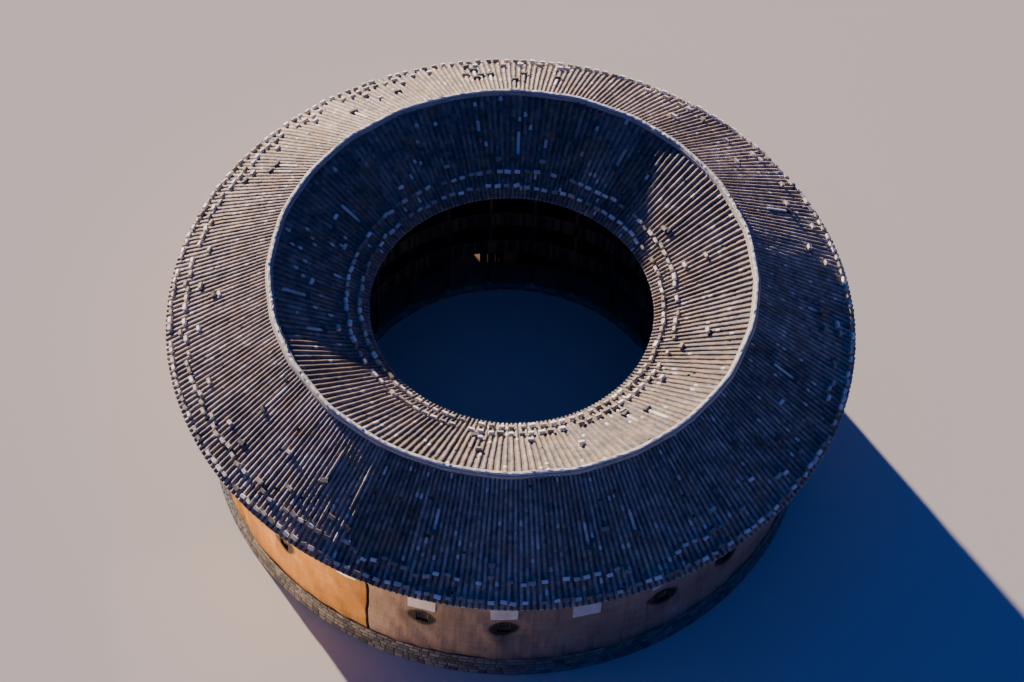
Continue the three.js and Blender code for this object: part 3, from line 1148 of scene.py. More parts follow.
@dataclass
class TiledRoof:
    """The two tiled slopes, their boards and rafters, the ridge, and the weights at the eaves."""

    workshop: Workshop
    course: float = 0.225
    tile_length: float = 0.3
    cover_share: float = 0.6
    cover_rise: float = 0.062
    pan_depth: float = 0.03
    pan_thickness: float = 0.014
    tile_bed: float = 0.068
    board_bed: float = 0.055
    board_thickness: float = 0.03
    rafter_radius: float = 0.05
    purlins_at: tuple[float, ...] = (17.15, 17.98, 8.15, 8.9, 14.4, 12.0)
    purlin_radius: float = 0.07
    bracket_reach: float = 18.05
    bay_step: float = 0.055
    ridge_steps: int = 480
    first_row: float = math.radians(45)

    def cover_tile(self, width: float) -> Parts:
        """An arched tile, a little wider and higher at its lower end.

        Args:
            width: Width across the row.

        Returns:
            The tile with its length up the slope.
        """
        ends = (
            [
                (
                    -math.cos(math.pi * i / 4) * width / 2 * size, end * self.tile_length,
                    math.sin(math.pi * i / 4) * self.cover_rise * size
                )
                for i in range(5)
            ]
            for end, size in ((-0.5, 1.0), (0.5, 0.84))
        )
        parts = Parts()
        parts.add(lofted(*ends))
        return parts

    def pan_tile(self, width: float) -> Parts:
        """A trough tile that carries the rain between two rows of arched tiles.

        Args:
            width: Width across the row.

        Returns:
            The tile with its length up the slope.
        """
        ends = []
        for end, top in ((-0.5, 0.012), (0.5, -0.004)):
            y, dip = end * self.tile_length, top - self.pan_depth
            section = [(-width / 2, top), (-width / 5, dip), (width / 5, dip), (width / 2, top)]
            section += [(x, dip - self.pan_thickness) for x in (width / 2, -width / 2)]
            ends.append([(x, y, z) for x, z in section])
        parts = Parts()
        parts.add(lofted(*ends))
        return parts

    def tiles(self, plan: SlopePlan) -> None:
        """Lays the arched and the trough tiles of one slope, a quarter of the ring at a time.

        Args:
            plan: The slope.
        """
        palette = self.workshop.palette
        # The court side takes a darker copy of the tile as painted shade
        finish = palette.tile if plan.side is Slope.OUTER else palette.shaded_court_tile
        rows = plan.rows // 4
        row_angle = QUARTER / rows
        widest = max(plan.eave, HOUSE.ridge)
        inset = self.tile_length / 2
        run = (HOUSE.ridge - plan.eave) / plan.length * inset
        rise = (HOUSE.ridge_height - plan.eave_height) / plan.length * inset
        for quarter, name in enumerate(("north", "west", "south", "east")):
            for kind in ("cover", "pan"):
                cover = kind == "cover"
                bed = self.tile_bed if cover else self.tile_bed - 0.004
                inward = plan.outward * math.sin(plan.tilt) * bed
                drop = math.cos(plan.tilt) * bed + self.bay_step / 2
                width = widest * row_angle * (self.cover_share if cover else 0.98 - self.cover_share / 2)
                values = {
                    "Rows": rows, "Courses": round((plan.length - self.tile_length) / self.course) + 1,
                    "Middle angle": QUARTER * (quarter + 1) + (0.0 if cover else row_angle / 2),
                    "Sweep": QUARTER - row_angle, "Low radius": plan.eave + run - inward,
                    "High radius": HOUSE.ridge - run - inward, "Low height": plan.eave_height + rise - drop,
                    "High height": HOUSE.ridge_height - rise - drop, "Facing": plan.outward * QUARTER,
                    "Tilt": plan.tilt, "Bay angle": HOUSE.bay, "Bay step": self.bay_step,
                    "Full width radius": widest, "Seed": 11 * quarter + (3 if cover else 7),
                    # The trough tiles take the darker finish that paints shade between the rows
                    "Finish": finish if cover else palette.trough
                }
                shape = (self.cover_tile if cover else self.pan_tile)(width)
                label = f"{plan.side.value}_{kind}_tiles_{name}"
                piece = grown(label, shape, self.workshop.tile_field, cover, values)
                shown(piece, Slot.TILE, *([f"{plan.side.value}_roof_{name}"] if cover else []))

    def boards(self, plan: SlopePlan) -> None:
        """Lays the boards under the tiles of one slope.

        Args:
            plan: The slope.
        """
        top = (self.tile_bed + self.board_bed) / math.cos(plan.tilt)
        bottom = top + self.board_thickness
        line = ((plan.eave - plan.outward * 0.06, plan.eave_height), (HOUSE.ridge, HOUSE.ridge_height))
        section = [(radius, height - top) for radius, height in line]
        section += [(radius, height - bottom) for radius, height in reversed(line)]
        parts = Parts()
        parts.add(plain_ring(section, 180))
        parts.show(plan.side.value + "_roof_boards", self.workshop.palette.timber, Slot.TIMBER)

    def rafters(self, plan: SlopePlan) -> None:
        """Sets the round rafters of one slope.

        Args:
            plan: The slope.
        """
        drop = self.tile_bed + self.board_bed + self.board_thickness + self.rafter_radius
        drop /= math.cos(plan.tilt)
        inward = plan.outward * 0.12
        start = (HOUSE.ridge + inward, 0.0, HOUSE.ridge_height - drop - 0.1)
        end = (plan.eave - inward, 0.0, plan.eave_height - drop + 0.05)
        parts = Parts()
        parts.add(pole(start, end, self.rafter_radius, self.rafter_radius * 0.9))
        self.workshop.around(
            plan.side.value + "_rafters", parts, self.workshop.palette.timber, Slot.TIMBER,
            count=plan.rafters, wander=(0.0, 0.03, 0.004), smooth=True
        )

    def purlins(self) -> None:
        """Sets the ring purlins under the rafters, and the beams that carry them past the wall."""
        timber = self.workshop.palette.timber
        parts = Parts()
        size = self.purlin_radius
        for radius in self.purlins_at:
            middle = HOUSE.roof_height(radius) - 0.27 - size
            section = [(radius + size * math.cos(a), middle + size * math.sin(a)) for a in circle(8)]
            parts.add(plain_ring(section, 96), 0.4)
        parts.show("ring_purlins", timber, Slot.TIMBER, smooth=True)
        arm = Parts()
        under = HOUSE.roof_height(self.bracket_reach) - 0.41
        arm.box((15.6, self.bracket_reach), (-0.07, 0.07), (under - 0.18, under), 0.02)
        post = HOUSE.roof_height(self.purlins_at[0]) - 0.38
        arm.box((17.08, 17.22), (-0.06, 0.06), (under - 0.02, post), 0.015)
        self.workshop.around("eave_brackets", arm, timber, Slot.TIMBER, first=HOUSE.bay / 2)

    def ridge(self) -> None:
        """Lays the limed ridge on its bed, kinked at the trusses as a hand-built one is."""
        rng = np.random.default_rng(5)
        steps = self.ridge_steps
        turn = np.linspace(0, FULL_TURN, steps, endpoint=False)
        offset = np.mod(turn, HOUSE.bay) - HOUSE.bay / 2
        kink = HOUSE.ridge * (math.cos(HOUSE.bay / 2) / np.cos(offset) - 1) * 0.45 + 0.02
        sway = sum(
            0.012 * rng.standard_normal() * np.sin(waves * turn + rng.uniform(0, FULL_TURN))
            for waves in (5, 11, 17, 29)
        )
        lift = rng.uniform(-0.03, 0.0, steps)
        lift = np.where(rng.random(steps) < 0.06, -0.05, lift)
        limed = [(-0.1, 0.0), (-0.09, 0.09), (-0.045, 0.13), (0.045, 0.13), (0.09, 0.09), (0.1, 0.0)]
        bed = [(-0.2, -0.16), (-0.15, 0.01), (0.0, 0.03), (0.15, 0.01), (0.2, -0.16)]
        palette = self.workshop.palette
        for name, outline, rough, lifted, finish, nodes in (
            ("limed_ridge", limed, 0.014, lift, palette.plaster, ["ridge_cap"]),
            ("ridge_bed", bed, 0.006, 0 * lift, palette.mortar, [])
        ):
            sections = np.zeros((steps, len(outline), 2)) + np.array(outline)
            sections[..., 0] += (HOUSE.ridge + kink + sway)[:, None]
            sections[..., 1] += HOUSE.ridge_height + lifted[:, None]
            sections += rng.uniform(-rough, rough, sections.shape)
            parts = Parts()
            parts.add(swept_ring(sections))
            parts.show(name, finish, Slot.RIDGE, *nodes)

    def eave_plugs(self, plan: SlopePlan) -> None:
        """Plugs the lowest arched tiles of one slope with mortar.

        Args:
            plan: The slope.
        """
        width = plan.eave * FULL_TURN / plan.rows * 0.36
        reach = plan.eave - plan.outward * 0.015
        base = plan.eave_height - self.tile_bed / math.cos(plan.tilt)
        arch = [math.pi * i / 5 for i in range(6)]
        front = [(reach, -math.cos(a) * width, base + math.sin(a) * 0.085) for a in arch]
        plug = Parts()
        plug.add(lofted(front, [(x - plan.outward * 0.06, y * 0.9, z) for x, y, z in front]))
        self.workshop.around(
            plan.side.value + "_eave_plugs", plug, self.workshop.palette.mortar, Slot.TILE, count=plan.rows,
            first=self.first_row + FULL_TURN / plan.rows / 2, wander=(0.0, 0.004, 0.004), seed=4
        )

    def weights(self, plan: SlopePlan) -> None:
        """Lays the bricks and stones that hold the lowest tiles down against the wind.

        Args:
            plan: The slope.
        """
        rng = np.random.default_rng(plan.weight_seed)
        parts = Parts()
        for row in plan.weight_rows:
            radius = plan.eave - plan.outward * row.distance
            count = round(FULL_TURN * radius / row.spacing)
            for number in range(count):
                if rng.random() > row.kept - row.thinned * math.cos(number * FULL_TURN / count):
                    continue
                angle = (number + rng.uniform(-0.13, 0.13)) * FULL_TURN / count
                place = plan.place(row.distance + rng.normal(0, row.scatter), angle)
                place @= Matrix.Rotation(rng.normal(0, 0.14), 4, "Z")
                size = rng.uniform(0.85, 1.15)
                half, side = 0.15 * size, 0.09 * size
                points, faces = block((-half, -side, -0.04), (half, side, 0.14 * size), 0.012)
                bent = [Vector(p) + Vector(rng.uniform(-0.008, 0.008, 3)) for p in points]
                parts.add((bent, faces), float(rng.uniform(0, 1)), place)
        parts.show(plan.side.value + "_eave_weights", self.workshop.palette.weight, Slot.TILE)

    def mended_rows(self) -> None:
        """Lays a few short rows of newer, paler tiles, each held by a dark stone at its foot."""
        rng = np.random.default_rng(77)
        tiles, stones = Parts(), Parts()
        lift = Matrix.Translation((0.0, 0.0, 0.035 - self.tile_bed))
        for plan in SLOPES:
            for _ in range(plan.mended):
                angle = self.first_row + (rng.integers(plan.rows) + 0.5) * FULL_TURN / plan.rows
                foot = rng.uniform(1.9, plan.length - 2.2)
                tone = float(rng.choice((0.8, 0.99)))
                for number in range(rng.integers(3, 8)):
                    along = foot + self.course * (number + 0.5)
                    place = plan.place(along, angle + rng.uniform(-0.0004, 0.0004))
                    width = self.cover_share * FULL_TURN * place.translation.xy.length / plan.rows
                    shape = self.cover_tile(width * 1.06)
                    tiles.add((shape.points, shape.faces), tone, place @ lift)
                place = plan.place(foot - 0.06, angle) @ Matrix.Rotation(rng.uniform(-0.5, 0.5), 4, "Z")
                points, faces = block((-0.19, -0.13, -0.04), (0.19, 0.13, 0.12), 0.03)
                bent = [Vector(p) + Vector(rng.uniform(-0.03, 0.03, 3)) for p in points]
                stones.add((bent, faces), float(rng.uniform(0.0, 0.3)), place)
        tiles.show("mended_tile_rows", self.workshop.palette.tile, Slot.TILE, smooth=True)
        stones.show("dark_roof_stones", self.workshop.palette.stone, Slot.TILE)

    def build(self) -> None:
        """Builds the whole roof."""
        for plan in SLOPES:
            self.tiles(plan)
            self.boards(plan)
            self.rafters(plan)
        self.purlins()
        self.ridge()
        for plan in SLOPES:
            self.eave_plugs(plan)
            self.weights(plan)
        self.mended_rows()


# Earth wall and plinth


@dataclass
class WallOpening:
    """A window of the earth wall, or the gap for the gateway. Half its width is an angle."""

    angle: float
    half_width: float
    low: float
    high: float


@dataclass
class EarthWall:
    """The rammed-earth ring, its windows and their dressings.

    The windows of a storey are given by half their width, their sill and their head.
    """

    workshop: Workshop
    third: tuple[float, float, float] = (0.35, 6.4, 7.3)
    second: tuple[float, float, float] = (0.32, 4.05, 4.79)
    middle_radius: float = 16.3
    under_roof: float = 0.27
    crack_angle: float = math.radians(229.4)
    crack_half_width: float = 0.0055
    crack_depth: float = 0.14
    # Angle of the stretch past the crack that is painted greyer and darker as shade
    shaded_stretch: float = math.radians(120)
    closed_bays: tuple[int, ...] = (3, 6, 7, 10, 21)
    bars: int = 5
    nodes: tuple[str, ...] = (
        "wall_gate_west", "wall_west", "wall_south_west", "wall_south_by_west_left",
        "wall_south_by_west_right", "wall_south", "wall_south_by_east", "wall_south_east",
        "wall_east_by_south_left", "wall_east_by_south_right", "wall_east", "wall_gate_east",
        "wall_over_gate"
    )

    def openings(self) -> list[WallOpening]:
        """Lists the windows: one a bay on the third storey, two in three bays on the second.

        Returns:
            The windows, bay by bay.
        """
        found = []
        for bay in range(HOUSE.bays):
            for half, low, high in (self.third, self.second) if bay % 3 else (self.third,):
                found.append(WallOpening(bay * HOUSE.bay, half / 16.0, low, high))
        return found

    def gap(self) -> WallOpening:
        """Gives the gap that the gateway needs."""
        return WallOpening(HOUSE.gate_angle, math.atan2(HOUSE.gate_half_width, 16.2), 0.0, HOUSE.gate_top)

    def columns(self) -> np.ndarray:
        """Angles of the wall's columns of faces, closer together about the windows.

        Returns:
            The angles, from the smallest to the largest.
        """
        side = [self.second[0], self.third[0], 0.47, 0.58, 0.69, 0.8, 0.95, 1.05, 1.4, 1.75]
        across = np.array([-w for w in side] + [-0.16, 0.0, 0.16] + side) / 16.0
        angles = [HOUSE.gate_angle - self.gap().half_width, HOUSE.gate_angle + self.gap().half_width]
        for bay in range(HOUSE.bays):
            angles += [bay * HOUSE.bay + a for a in (*across, HOUSE.bay / 2)]
        edge = self.crack_half_width
        angles += [self.crack_angle + offset for offset in (-edge, -0.003, 0.0, 0.003, edge)]
        return np.array(sorted(set(np.round(angles, 6))))

    def rows(self) -> np.ndarray:
        """Heights of the wall's rows of faces below its sloping top.

        Returns:
            The heights, upwards.
        """
        fixed = [HOUSE.plinth_height, HOUSE.gate_top, *self.second[1:], *self.third[1:]]
        rest = [1.7, 1.95, 2.3, 2.67, 3.3, 3.5, 3.7, 3.85, 3.95, 4.2, 4.4, 4.6, 4.9, 5.0, 5.15]
        rest += [5.4, 5.65, 5.9, 6.15, 6.6, 6.85, 7.1, 7.6, 8.0, 8.5, 9.0, 9.5, 10.0, 10.4]
        return np.array(sorted(fixed + rest))

    def relief(self, turn: np.ndarray, level: np.ndarray) -> np.ndarray:
        """Gives how far the outer face stands out of its true cone, from uneven ramming and rain.

        Args:
            turn: Bearing of each corner.
            level: Height of each corner.

        Returns:
            The distance at each corner, in metres.
        """
        rng = np.random.default_rng(21)
        out = np.zeros_like(turn)
        for _ in range(26):
            around, upward = rng.integers(3, 90), rng.uniform(0.3, 3.2)
            wave = np.sin(around * turn + upward * level + rng.uniform(0, FULL_TURN))
            out += (0.055 / (2 + around**0.5)) * wave
        out += rng.uniform(-0.004, 0.004, out.shape)
        middle = sum(self.third[1:]) / 2
        across = np.abs((turn + HOUSE.bay / 2) % HOUSE.bay - HOUSE.bay / 2) * self.middle_radius
        beyond = np.maximum(across - 0.85, np.abs(level - middle) - 1.9)
        crack = np.clip(1 - np.abs(turn - self.crack_angle) / 0.005, 0, 1)
        return out * np.clip(beyond / 0.4, 0.0, 1.0) - self.crack_depth * crack

    def dark_marks_and_shade(self, turn: np.ndarray, level: np.ndarray) -> np.ndarray:
        """Gives how much darker the wall is painted: runs below the windows, an almond about each
        second-storey window, the foot, and painted shade in the crack.

        Args:
            turn: Bearing of each corner.
            level: Height of each corner.

        Returns:
            How much darker each corner is painted, from 0 to 1.
        """
        rng = np.random.default_rng(3)
        # Darker over the lowest half metre above the plinth
        dark = 0.4 * np.clip(1 - (level - HOUSE.plinth_height) / 0.5, 0, 1)
        for hole in self.openings():
            across = ((turn - hole.angle + math.pi) % FULL_TURN - math.pi) * self.middle_radius
            below = hole.low - level
            run = np.clip((below + 0.25) / 0.3, 0, 1) * np.clip(1 - below / 1.4, 0, 1)
            second_storey = hole.low == self.second[1]
            near = np.clip(1.25 - np.abs(across) / 0.6, 0, 1)
            dark = np.maximum(dark, (0.45 if second_storey else 0.3) * run * near)
            # Each second-storey window gets a darker almond painted about it
            if second_storey:
                tilt = rng.uniform(-0.12, 0.12)
                up = level - (hole.low + hole.high) / 2 - tilt * across
                almond = (np.abs(across) / rng.uniform(0.74, 0.86)) ** 1.4 + (up / rng.uniform(0.6, 0.7)) ** 2
                dark = np.maximum(dark, np.clip((1.25 - almond) * 3, 0, 1))
        # Painted shade: the crack is painted dark down its whole height
        crack = (self.crack_half_width - np.abs(turn - self.crack_angle)) / 0.002
        return np.clip(np.maximum(dark, crack), 0, 1)

    def painted_shade_share(self, angles: np.ndarray) -> np.ndarray:
        """How much painted shade each column takes: the stretch that begins at the crack is painted greyer
        and darker.
        """
        past = (angles - self.crack_angle) % FULL_TURN
        return np.clip(past / 0.003, 0, 1) * np.clip((self.shaded_stretch - past) / 0.6, 0, 1)

    def crack_sway(self, turn: np.ndarray, level: np.ndarray) -> np.ndarray:
        """How far round the wall the crack wanders from upright at each corner, in radians."""
        sway = 0.0014 * np.sin(1.7 * level) + 0.0009 * np.sin(4.9 * level + 1.0)
        return np.where(np.abs(turn - self.crack_angle) < 0.006, sway, 0.0)

    def holes(self, angles: np.ndarray, heights: np.ndarray) -> np.ndarray:
        """Marks the faces of the grid that windows and the gateway leave out.

        Args:
            angles: Bearings of the columns.
            heights: Heights of the rows.

        Returns:
            Whether each face is left out, as columns x rows.
        """
        middles = (angles + np.append(angles[1:], angles[0] + FULL_TURN)) / 2
        between = np.append((heights[:-1] + heights[1:]) / 2, HOUSE.wall_top_height)
        hole = np.zeros((len(middles), len(between)), dtype=bool)
        for opening in (*self.openings(), self.gap()):
            across = np.abs((middles - opening.angle + math.pi) % FULL_TURN - math.pi)
            inside = (between > opening.low) & (between < opening.high)
            hole |= np.outer(across < opening.half_width, inside)
        return hole

    def shell(self) -> None:
        """Builds the ring with its windows and the gap for the gateway cut through it."""
        angles, heights = self.columns(), self.rows()
        hole = self.holes(angles, heights)
        count, levels = len(angles), len(heights) + 1
        turn, level = np.meshgrid(angles, np.append(heights, heights[-1]), indexing="ij")
        relief = self.relief(turn[:, :-1], level[:, :-1])
        outside = np.column_stack([HOUSE.wall_radius(heights) + relief, np.full(count, HOUSE.wall_top)])
        swayed = turn + self.crack_sway(turn, level)
        sides = []
        for radius, top in ((outside, HOUSE.wall_top), (HOUSE.wall_inner, HOUSE.wall_inner)):
            level[:, -1] = HOUSE.roof_height(top) - self.under_roof
            spots = np.stack([radius * np.cos(swayed), radius * np.sin(swayed), level], axis=-1)
            sides.append(spots.reshape(-1, 3))
        points = np.concatenate(sides)
        back = count * levels
        faces: list[Face] = []
        for i in range(count):
            a, b = i * levels, ((i + 1) % count) * levels
            for j in range(levels - 1):
                if not hole[i, j]:
                    faces.append((a + j, b + j, b + j + 1, a + j + 1))
                    faces.append((back + a + j, back + a + j + 1, back + b + j + 1, back + b + j))
                if hole[i - 1, j] != hole[i, j]:
                    faces.append((a + j, a + j + 1, back + a + j + 1, back + a + j))
            ends = np.flatnonzero(np.diff(hole[i], prepend=True, append=True))
            faces += [(a + j, b + j, back + b + j, back + a + j) for j in ends.tolist()]
        mesh = bpy.data.meshes.new("earth_wall")
        mesh.from_pydata(points.tolist(), [], faces)
        mesh.materials.append(self.workshop.palette.earth)
        dark_marks_and_shade = self.dark_marks_and_shade(turn[:, :-1], level[:, :-1])
        stain = np.concatenate([np.column_stack([dark_marks_and_shade, dark_marks_and_shade[:, -1]]).reshape(-1), np.zeros(back)])
        # The painted shade past the crack rides on the tone attribute
        grey = np.tile(np.repeat(self.painted_shade_share(angles), levels), 2)
        for name, values in ((DARK_MARK_AND_SHADE, stain), (TONE, grey)):
            mesh.attributes.new(name, "FLOAT", "POINT").data.foreach_set("value", values)
        spots = points[np.array(faces)]
        turned = np.arctan2(spots[..., 1], spots[..., 0])
        split = np.ptp(turned, axis=1, keepdims=True) > math.pi
        turned += FULL_TURN * (split & (turned < 0))
        uv = np.stack([turned * self.middle_radius, spots[..., 2]], axis=-1)
        mesh.uv_layers.new(name="UVMap").data.foreach_set("uv", uv.reshape(-1))
        turn_faces_out(mesh)
        shown(link_piece("earth_wall", mesh), Slot.EARTH, *self.nodes)

    def plaster_bands(self) -> None:
        """Lays a hand-drawn band of plaster round each top window, lower below some than others."""
        rng = np.random.default_rng(208)
        half, low, high = self.third
        middle = (low + high) / 2
        inner = [(-half, low), (0, low), (half, low), (half, middle)]
        inner += [(half, high), (0, high), (-half, high), (-half, middle)]
        parts = Parts()
        for bay in range(HOUSE.bays):
            side, foot, head = half + rng.uniform(0.2, 0.4), low - rng.uniform(0.9, 1.4), high + 0.3
            outer = [(-side, foot), (0, foot + 0.05), (side, foot + rng.uniform(-0.1, 0.3)), (side, middle)]
            outer += [(side, head), (0, head + 0.02), (-side, head), (-side, middle)]
            outer = [(y + rng.uniform(-0.03, 0.03), z + rng.uniform(-0.04, 0.04)) for y, z in outer]
            points = [
                on_ring(HOUSE.wall_radius(z) + depth, bay * HOUSE.bay + y / 16.25, z)
                for depth in (-0.06, 0.035) for y, z in (*inner, *outer)
            ]
            faces: list[Face] = []
            for i in range(8):
                j = (i + 1) % 8
                faces += [(i, j, 8 + j, 8 + i), (16 + i, 16 + j, 24 + j, 24 + i)]
                faces += [(i, j, 16 + j, 16 + i), (8 + i, 8 + j, 24 + j, 24 + i)]
            parts.add((points, faces), float(rng.uniform(0.3, 1.0)))
        parts.show("window_plaster", self.workshop.palette.plaster, Slot.EARTH)

    def window_frame(self, half: float, low: float, high: float) -> Parts:
        """The timber frame and upright bars set back in a window.

        Args:
            half: Half the width of the opening.
            low: Sill of the opening.
            high: Head of the opening.

        Returns:
            The frame as it stands on the +X side.
        """
        parts = Parts()
        thick, deep, wide = 0.06, 0.1, half * 0.97
        face = HOUSE.wall_radius(high) - 0.16
        for y in ((-wide, -wide + thick), (wide - thick, wide)):
            parts.box((face - deep, face), y, (low + 0.005, high - 0.005), 0.01)
        for z in ((low + 0.006, low + thick), (high - thick, high - 0.006)):
            parts.box((face - deep - 0.01, face + 0.01), (-wide, wide), z, 0.01)
        middle = face - deep / 2
        for i in range(self.bars):
            y = -wide + thick + (2 * wide - 2 * thick) * (i + 1) / (self.bars + 1)
            parts.add(pole((middle, y, low + 0.03), (middle, y, high - 0.03), 0.018, 0.018, 6))
        return parts

    def window_frames(self) -> None:
        """Sets the frames of both storeys."""
        palette = self.workshop.palette
        self.workshop.around(
            "third_window_frames", self.window_frame(*self.third), palette.timber, Slot.TIMBER, seed=3
        )
        for first in (1, 2):
            self.workshop.around(
                f"second_window_frames_{first}", self.window_frame(*self.second), palette.bleached,
                Slot.TIMBER, count=HOUSE.bays // 3, first=first * HOUSE.bay, seed=5 + first
            )

    def shutters(self) -> None:
        """Closes a few windows behind the bars with plank shutters."""
        parts = Parts()
        for opening in self.openings():
            if round(opening.angle / HOUSE.bay) not in self.closed_bays:
                continue
            turn = Matrix.Rotation(opening.angle, 4, "Z")
            face = HOUSE.wall_radius(opening.high) - 0.34
            edges = np.linspace(-1, 1, 5) * (opening.half_width * face - 0.004)
            for near, far in zip(edges, edges[1:]):
                low = (face - 0.03, near + 0.002, opening.low + 0.01)
                parts.add(block(low, (face, far - 0.002, opening.high - 0.01)), place=turn)
        parts.show("window_shutters", self.workshop.palette.timber, Slot.TIMBER)

    def build(self) -> None:
        """Builds the wall and dresses its windows."""
        self.shell()
        self.plaster_bands()
        self.window_frames()
        self.shutters()


@dataclass
class StonePlinth:
    """The rubble base of the wall: a bed of clay mortar with stones standing out of it."""

    workshop: Workshop
    foot: float = 16.66
    top: float = 16.58
    course_heights: tuple[float, ...] = (0.36, 0.31, 0.3, 0.27, 0.26)
    joint: float = 0.012
    uneven: float = 0.012
    proud: float = 0.035
    gap: float = math.atan2(HOUSE.gate_half_width + 0.01, 16.0)

    def face_radius(self, height: float) -> float:
        """Distance of the mortar face from the axis."""
        return self.foot + (self.top - self.foot) * height / HOUSE.plinth_height - self.proud

    def bed(self) -> None:
        """Builds the mortar ring behind the stones, open at the gateway."""
        levels = (0.0, HOUSE.plinth_height)
        section = [(HOUSE.wall_inner, levels[0]), *((self.face_radius(z), z) for z in levels)]
        section.append((HOUSE.wall_inner, levels[1]))
        sections = np.repeat(np.array([section]), 180, axis=0)
        parts = Parts()
        parts.add(swept_ring(sections, HOUSE.gate_angle + self.gap, FULL_TURN - 2 * self.gap))
        nodes = (f"plinth_{side}" for side in ("east", "west", "south_west", "south_east"))
        parts.show("plinth_bed", self.workshop.palette.bedding, Slot.PLINTH, *nodes)

    def stones(self) -> None:
        """Lays the stones course by course, each with its own outline and bulge."""
        rng = np.random.default_rng(31)
        parts = Parts()
        base = 0.0
        last = HOUSE.gate_angle + self.gap + FULL_TURN - 2 * self.gap
        for height in self.course_heights:
            angle = HOUSE.gate_angle + self.gap
            while angle < last - 0.004:
                width = rng.uniform(0.28, 0.62) / self.foot
                if last - angle - width < 0.2 / self.foot:
                    width = last - angle
                shape = self.stone(rng, angle, width, base, height)
                parts.add(shape, float(rng.uniform(0.0, 1.0)))
                angle += width
            base += height
        parts.show("plinth_stones", self.workshop.palette.stone, Slot.PLINTH)

    def stone(
        self, rng: np.random.Generator, angle: float, width: float, base: float, height: float
    ) -> Shape:
        """Shapes one stone.

        Args:
            rng: Source of its unevenness.
            angle: Where it begins.
            width: Angle that it takes.
            base: Height of its underside.
            height: Its height.

        Returns:
            Corners and faces of the stone, whose face rises to one point.
        """
        outline = [(0.0, 0.0), (0.5, -0.01), (1.0, 0.0), (1.01, 0.5)]
        outline += [(1.0, 1.0), (0.5, 1.01), (0.0, 1.0), (-0.01, 0.5)]
        points: list[Point] = []
        bulge = rng.uniform(0.0, 0.02)
        wide = width * self.foot
        for depth, shrink in ((-0.03, 0.0), (self.proud * 0.6, 0.015), (self.proud, 0.055)):
            inset_u, inset_v = (self.joint + shrink) / wide, (self.joint + shrink) / height
            for u, v in outline:
                x = inset_u + u * (1 - 2 * inset_u) + rng.uniform(-self.uneven, self.uneven) / wide
                z = inset_v + v * (1 - 2 * inset_v) + rng.uniform(-self.uneven, self.uneven) / height
                level = min(max(base + z * height, 0.001), HOUSE.plinth_height - 0.004)
                points.append(on_ring(self.face_radius(level) + depth, angle + x * width, level))
        level = base + height / 2
        radius = self.face_radius(level) + self.proud + bulge * 0.5
        points.append(on_ring(radius, angle + width * rng.uniform(0.4, 0.6), level))
        faces: list[Face] = [tuple(range(8))]
        for i in range(8):
            j = (i + 1) % 8
            faces += [(i, j, 8 + j, 8 + i), (8 + i, 8 + j, 16 + j, 16 + i), (16 + i, 16 + j, 24)]
        return points, faces

    def build(self) -> None:
        """Builds the plinth."""
        self.bed()
        self.stones()


@dataclass
class Gateway:
    """The dressed granite lining of the gateway."""

    workshop: Workshop
    inner: float = 15.31
    face: float = 16.74
    half: float = 0.85
    height: float = 2.75
    jamb: float = 0.3
    courses: tuple[float, ...] = (0.0, 0.55, 1.0, 1.6, 2.15, 2.75)

    def blocks(self, rng: np.random.Generator) -> Iterator[tuple[Point, Point]]:
        """Gives the blocks one by one, so that each is drawn before its tone.

        Args:
            rng: Source of where each course is split.

        Yields:
            Lowest and highest corner of each block, as it stands on the +X side.
        """
        edge = self.half + self.jamb - 0.004
        for low, high in zip(self.courses, self.courses[1:]):
            for side in (-1, 1):
                near, far = sorted((side * self.half, side * edge))
                split = rng.uniform(15.8, 16.2)
                yield (self.inner, near, low + 0.004), (split - 0.003, far, high - 0.004)
                yield (split + 0.003, near, low + 0.004), (self.face, far, high - 0.004)
        top = self.height + self.jamb - 0.004
        yield (self.inner, -edge, self.height + 0.004), (16.0, edge, top)
        yield (16.004, -edge, self.height + 0.004), (self.face, edge, top)

    def build(self) -> None:
        """Builds the jamb blocks and the lintel, turned to the +Y side."""
        rng = np.random.default_rng(2)
        parts = Parts()
        turn = Matrix.Rotation(HOUSE.gate_angle, 4, "Z")
        for low, high in self.blocks(rng):
            parts.add(block(low, high, 0.015), float(rng.uniform(0.3, 0.9)), turn)
        parts.show("granite_gateway", self.workshop.palette.granite, Slot.PLINTH, "gate_frame")


# Court side


@dataclass
class Storey:
    """One storey of the galleries and rooms."""

    name: str
    floor: float
    head: float

    def nodes(self, kind: str) -> tuple[str, str]:
        """Names the two solids of one kind on this storey."""
        return (f"{self.name}_{kind}_north", f"{self.name}_{kind}_south")


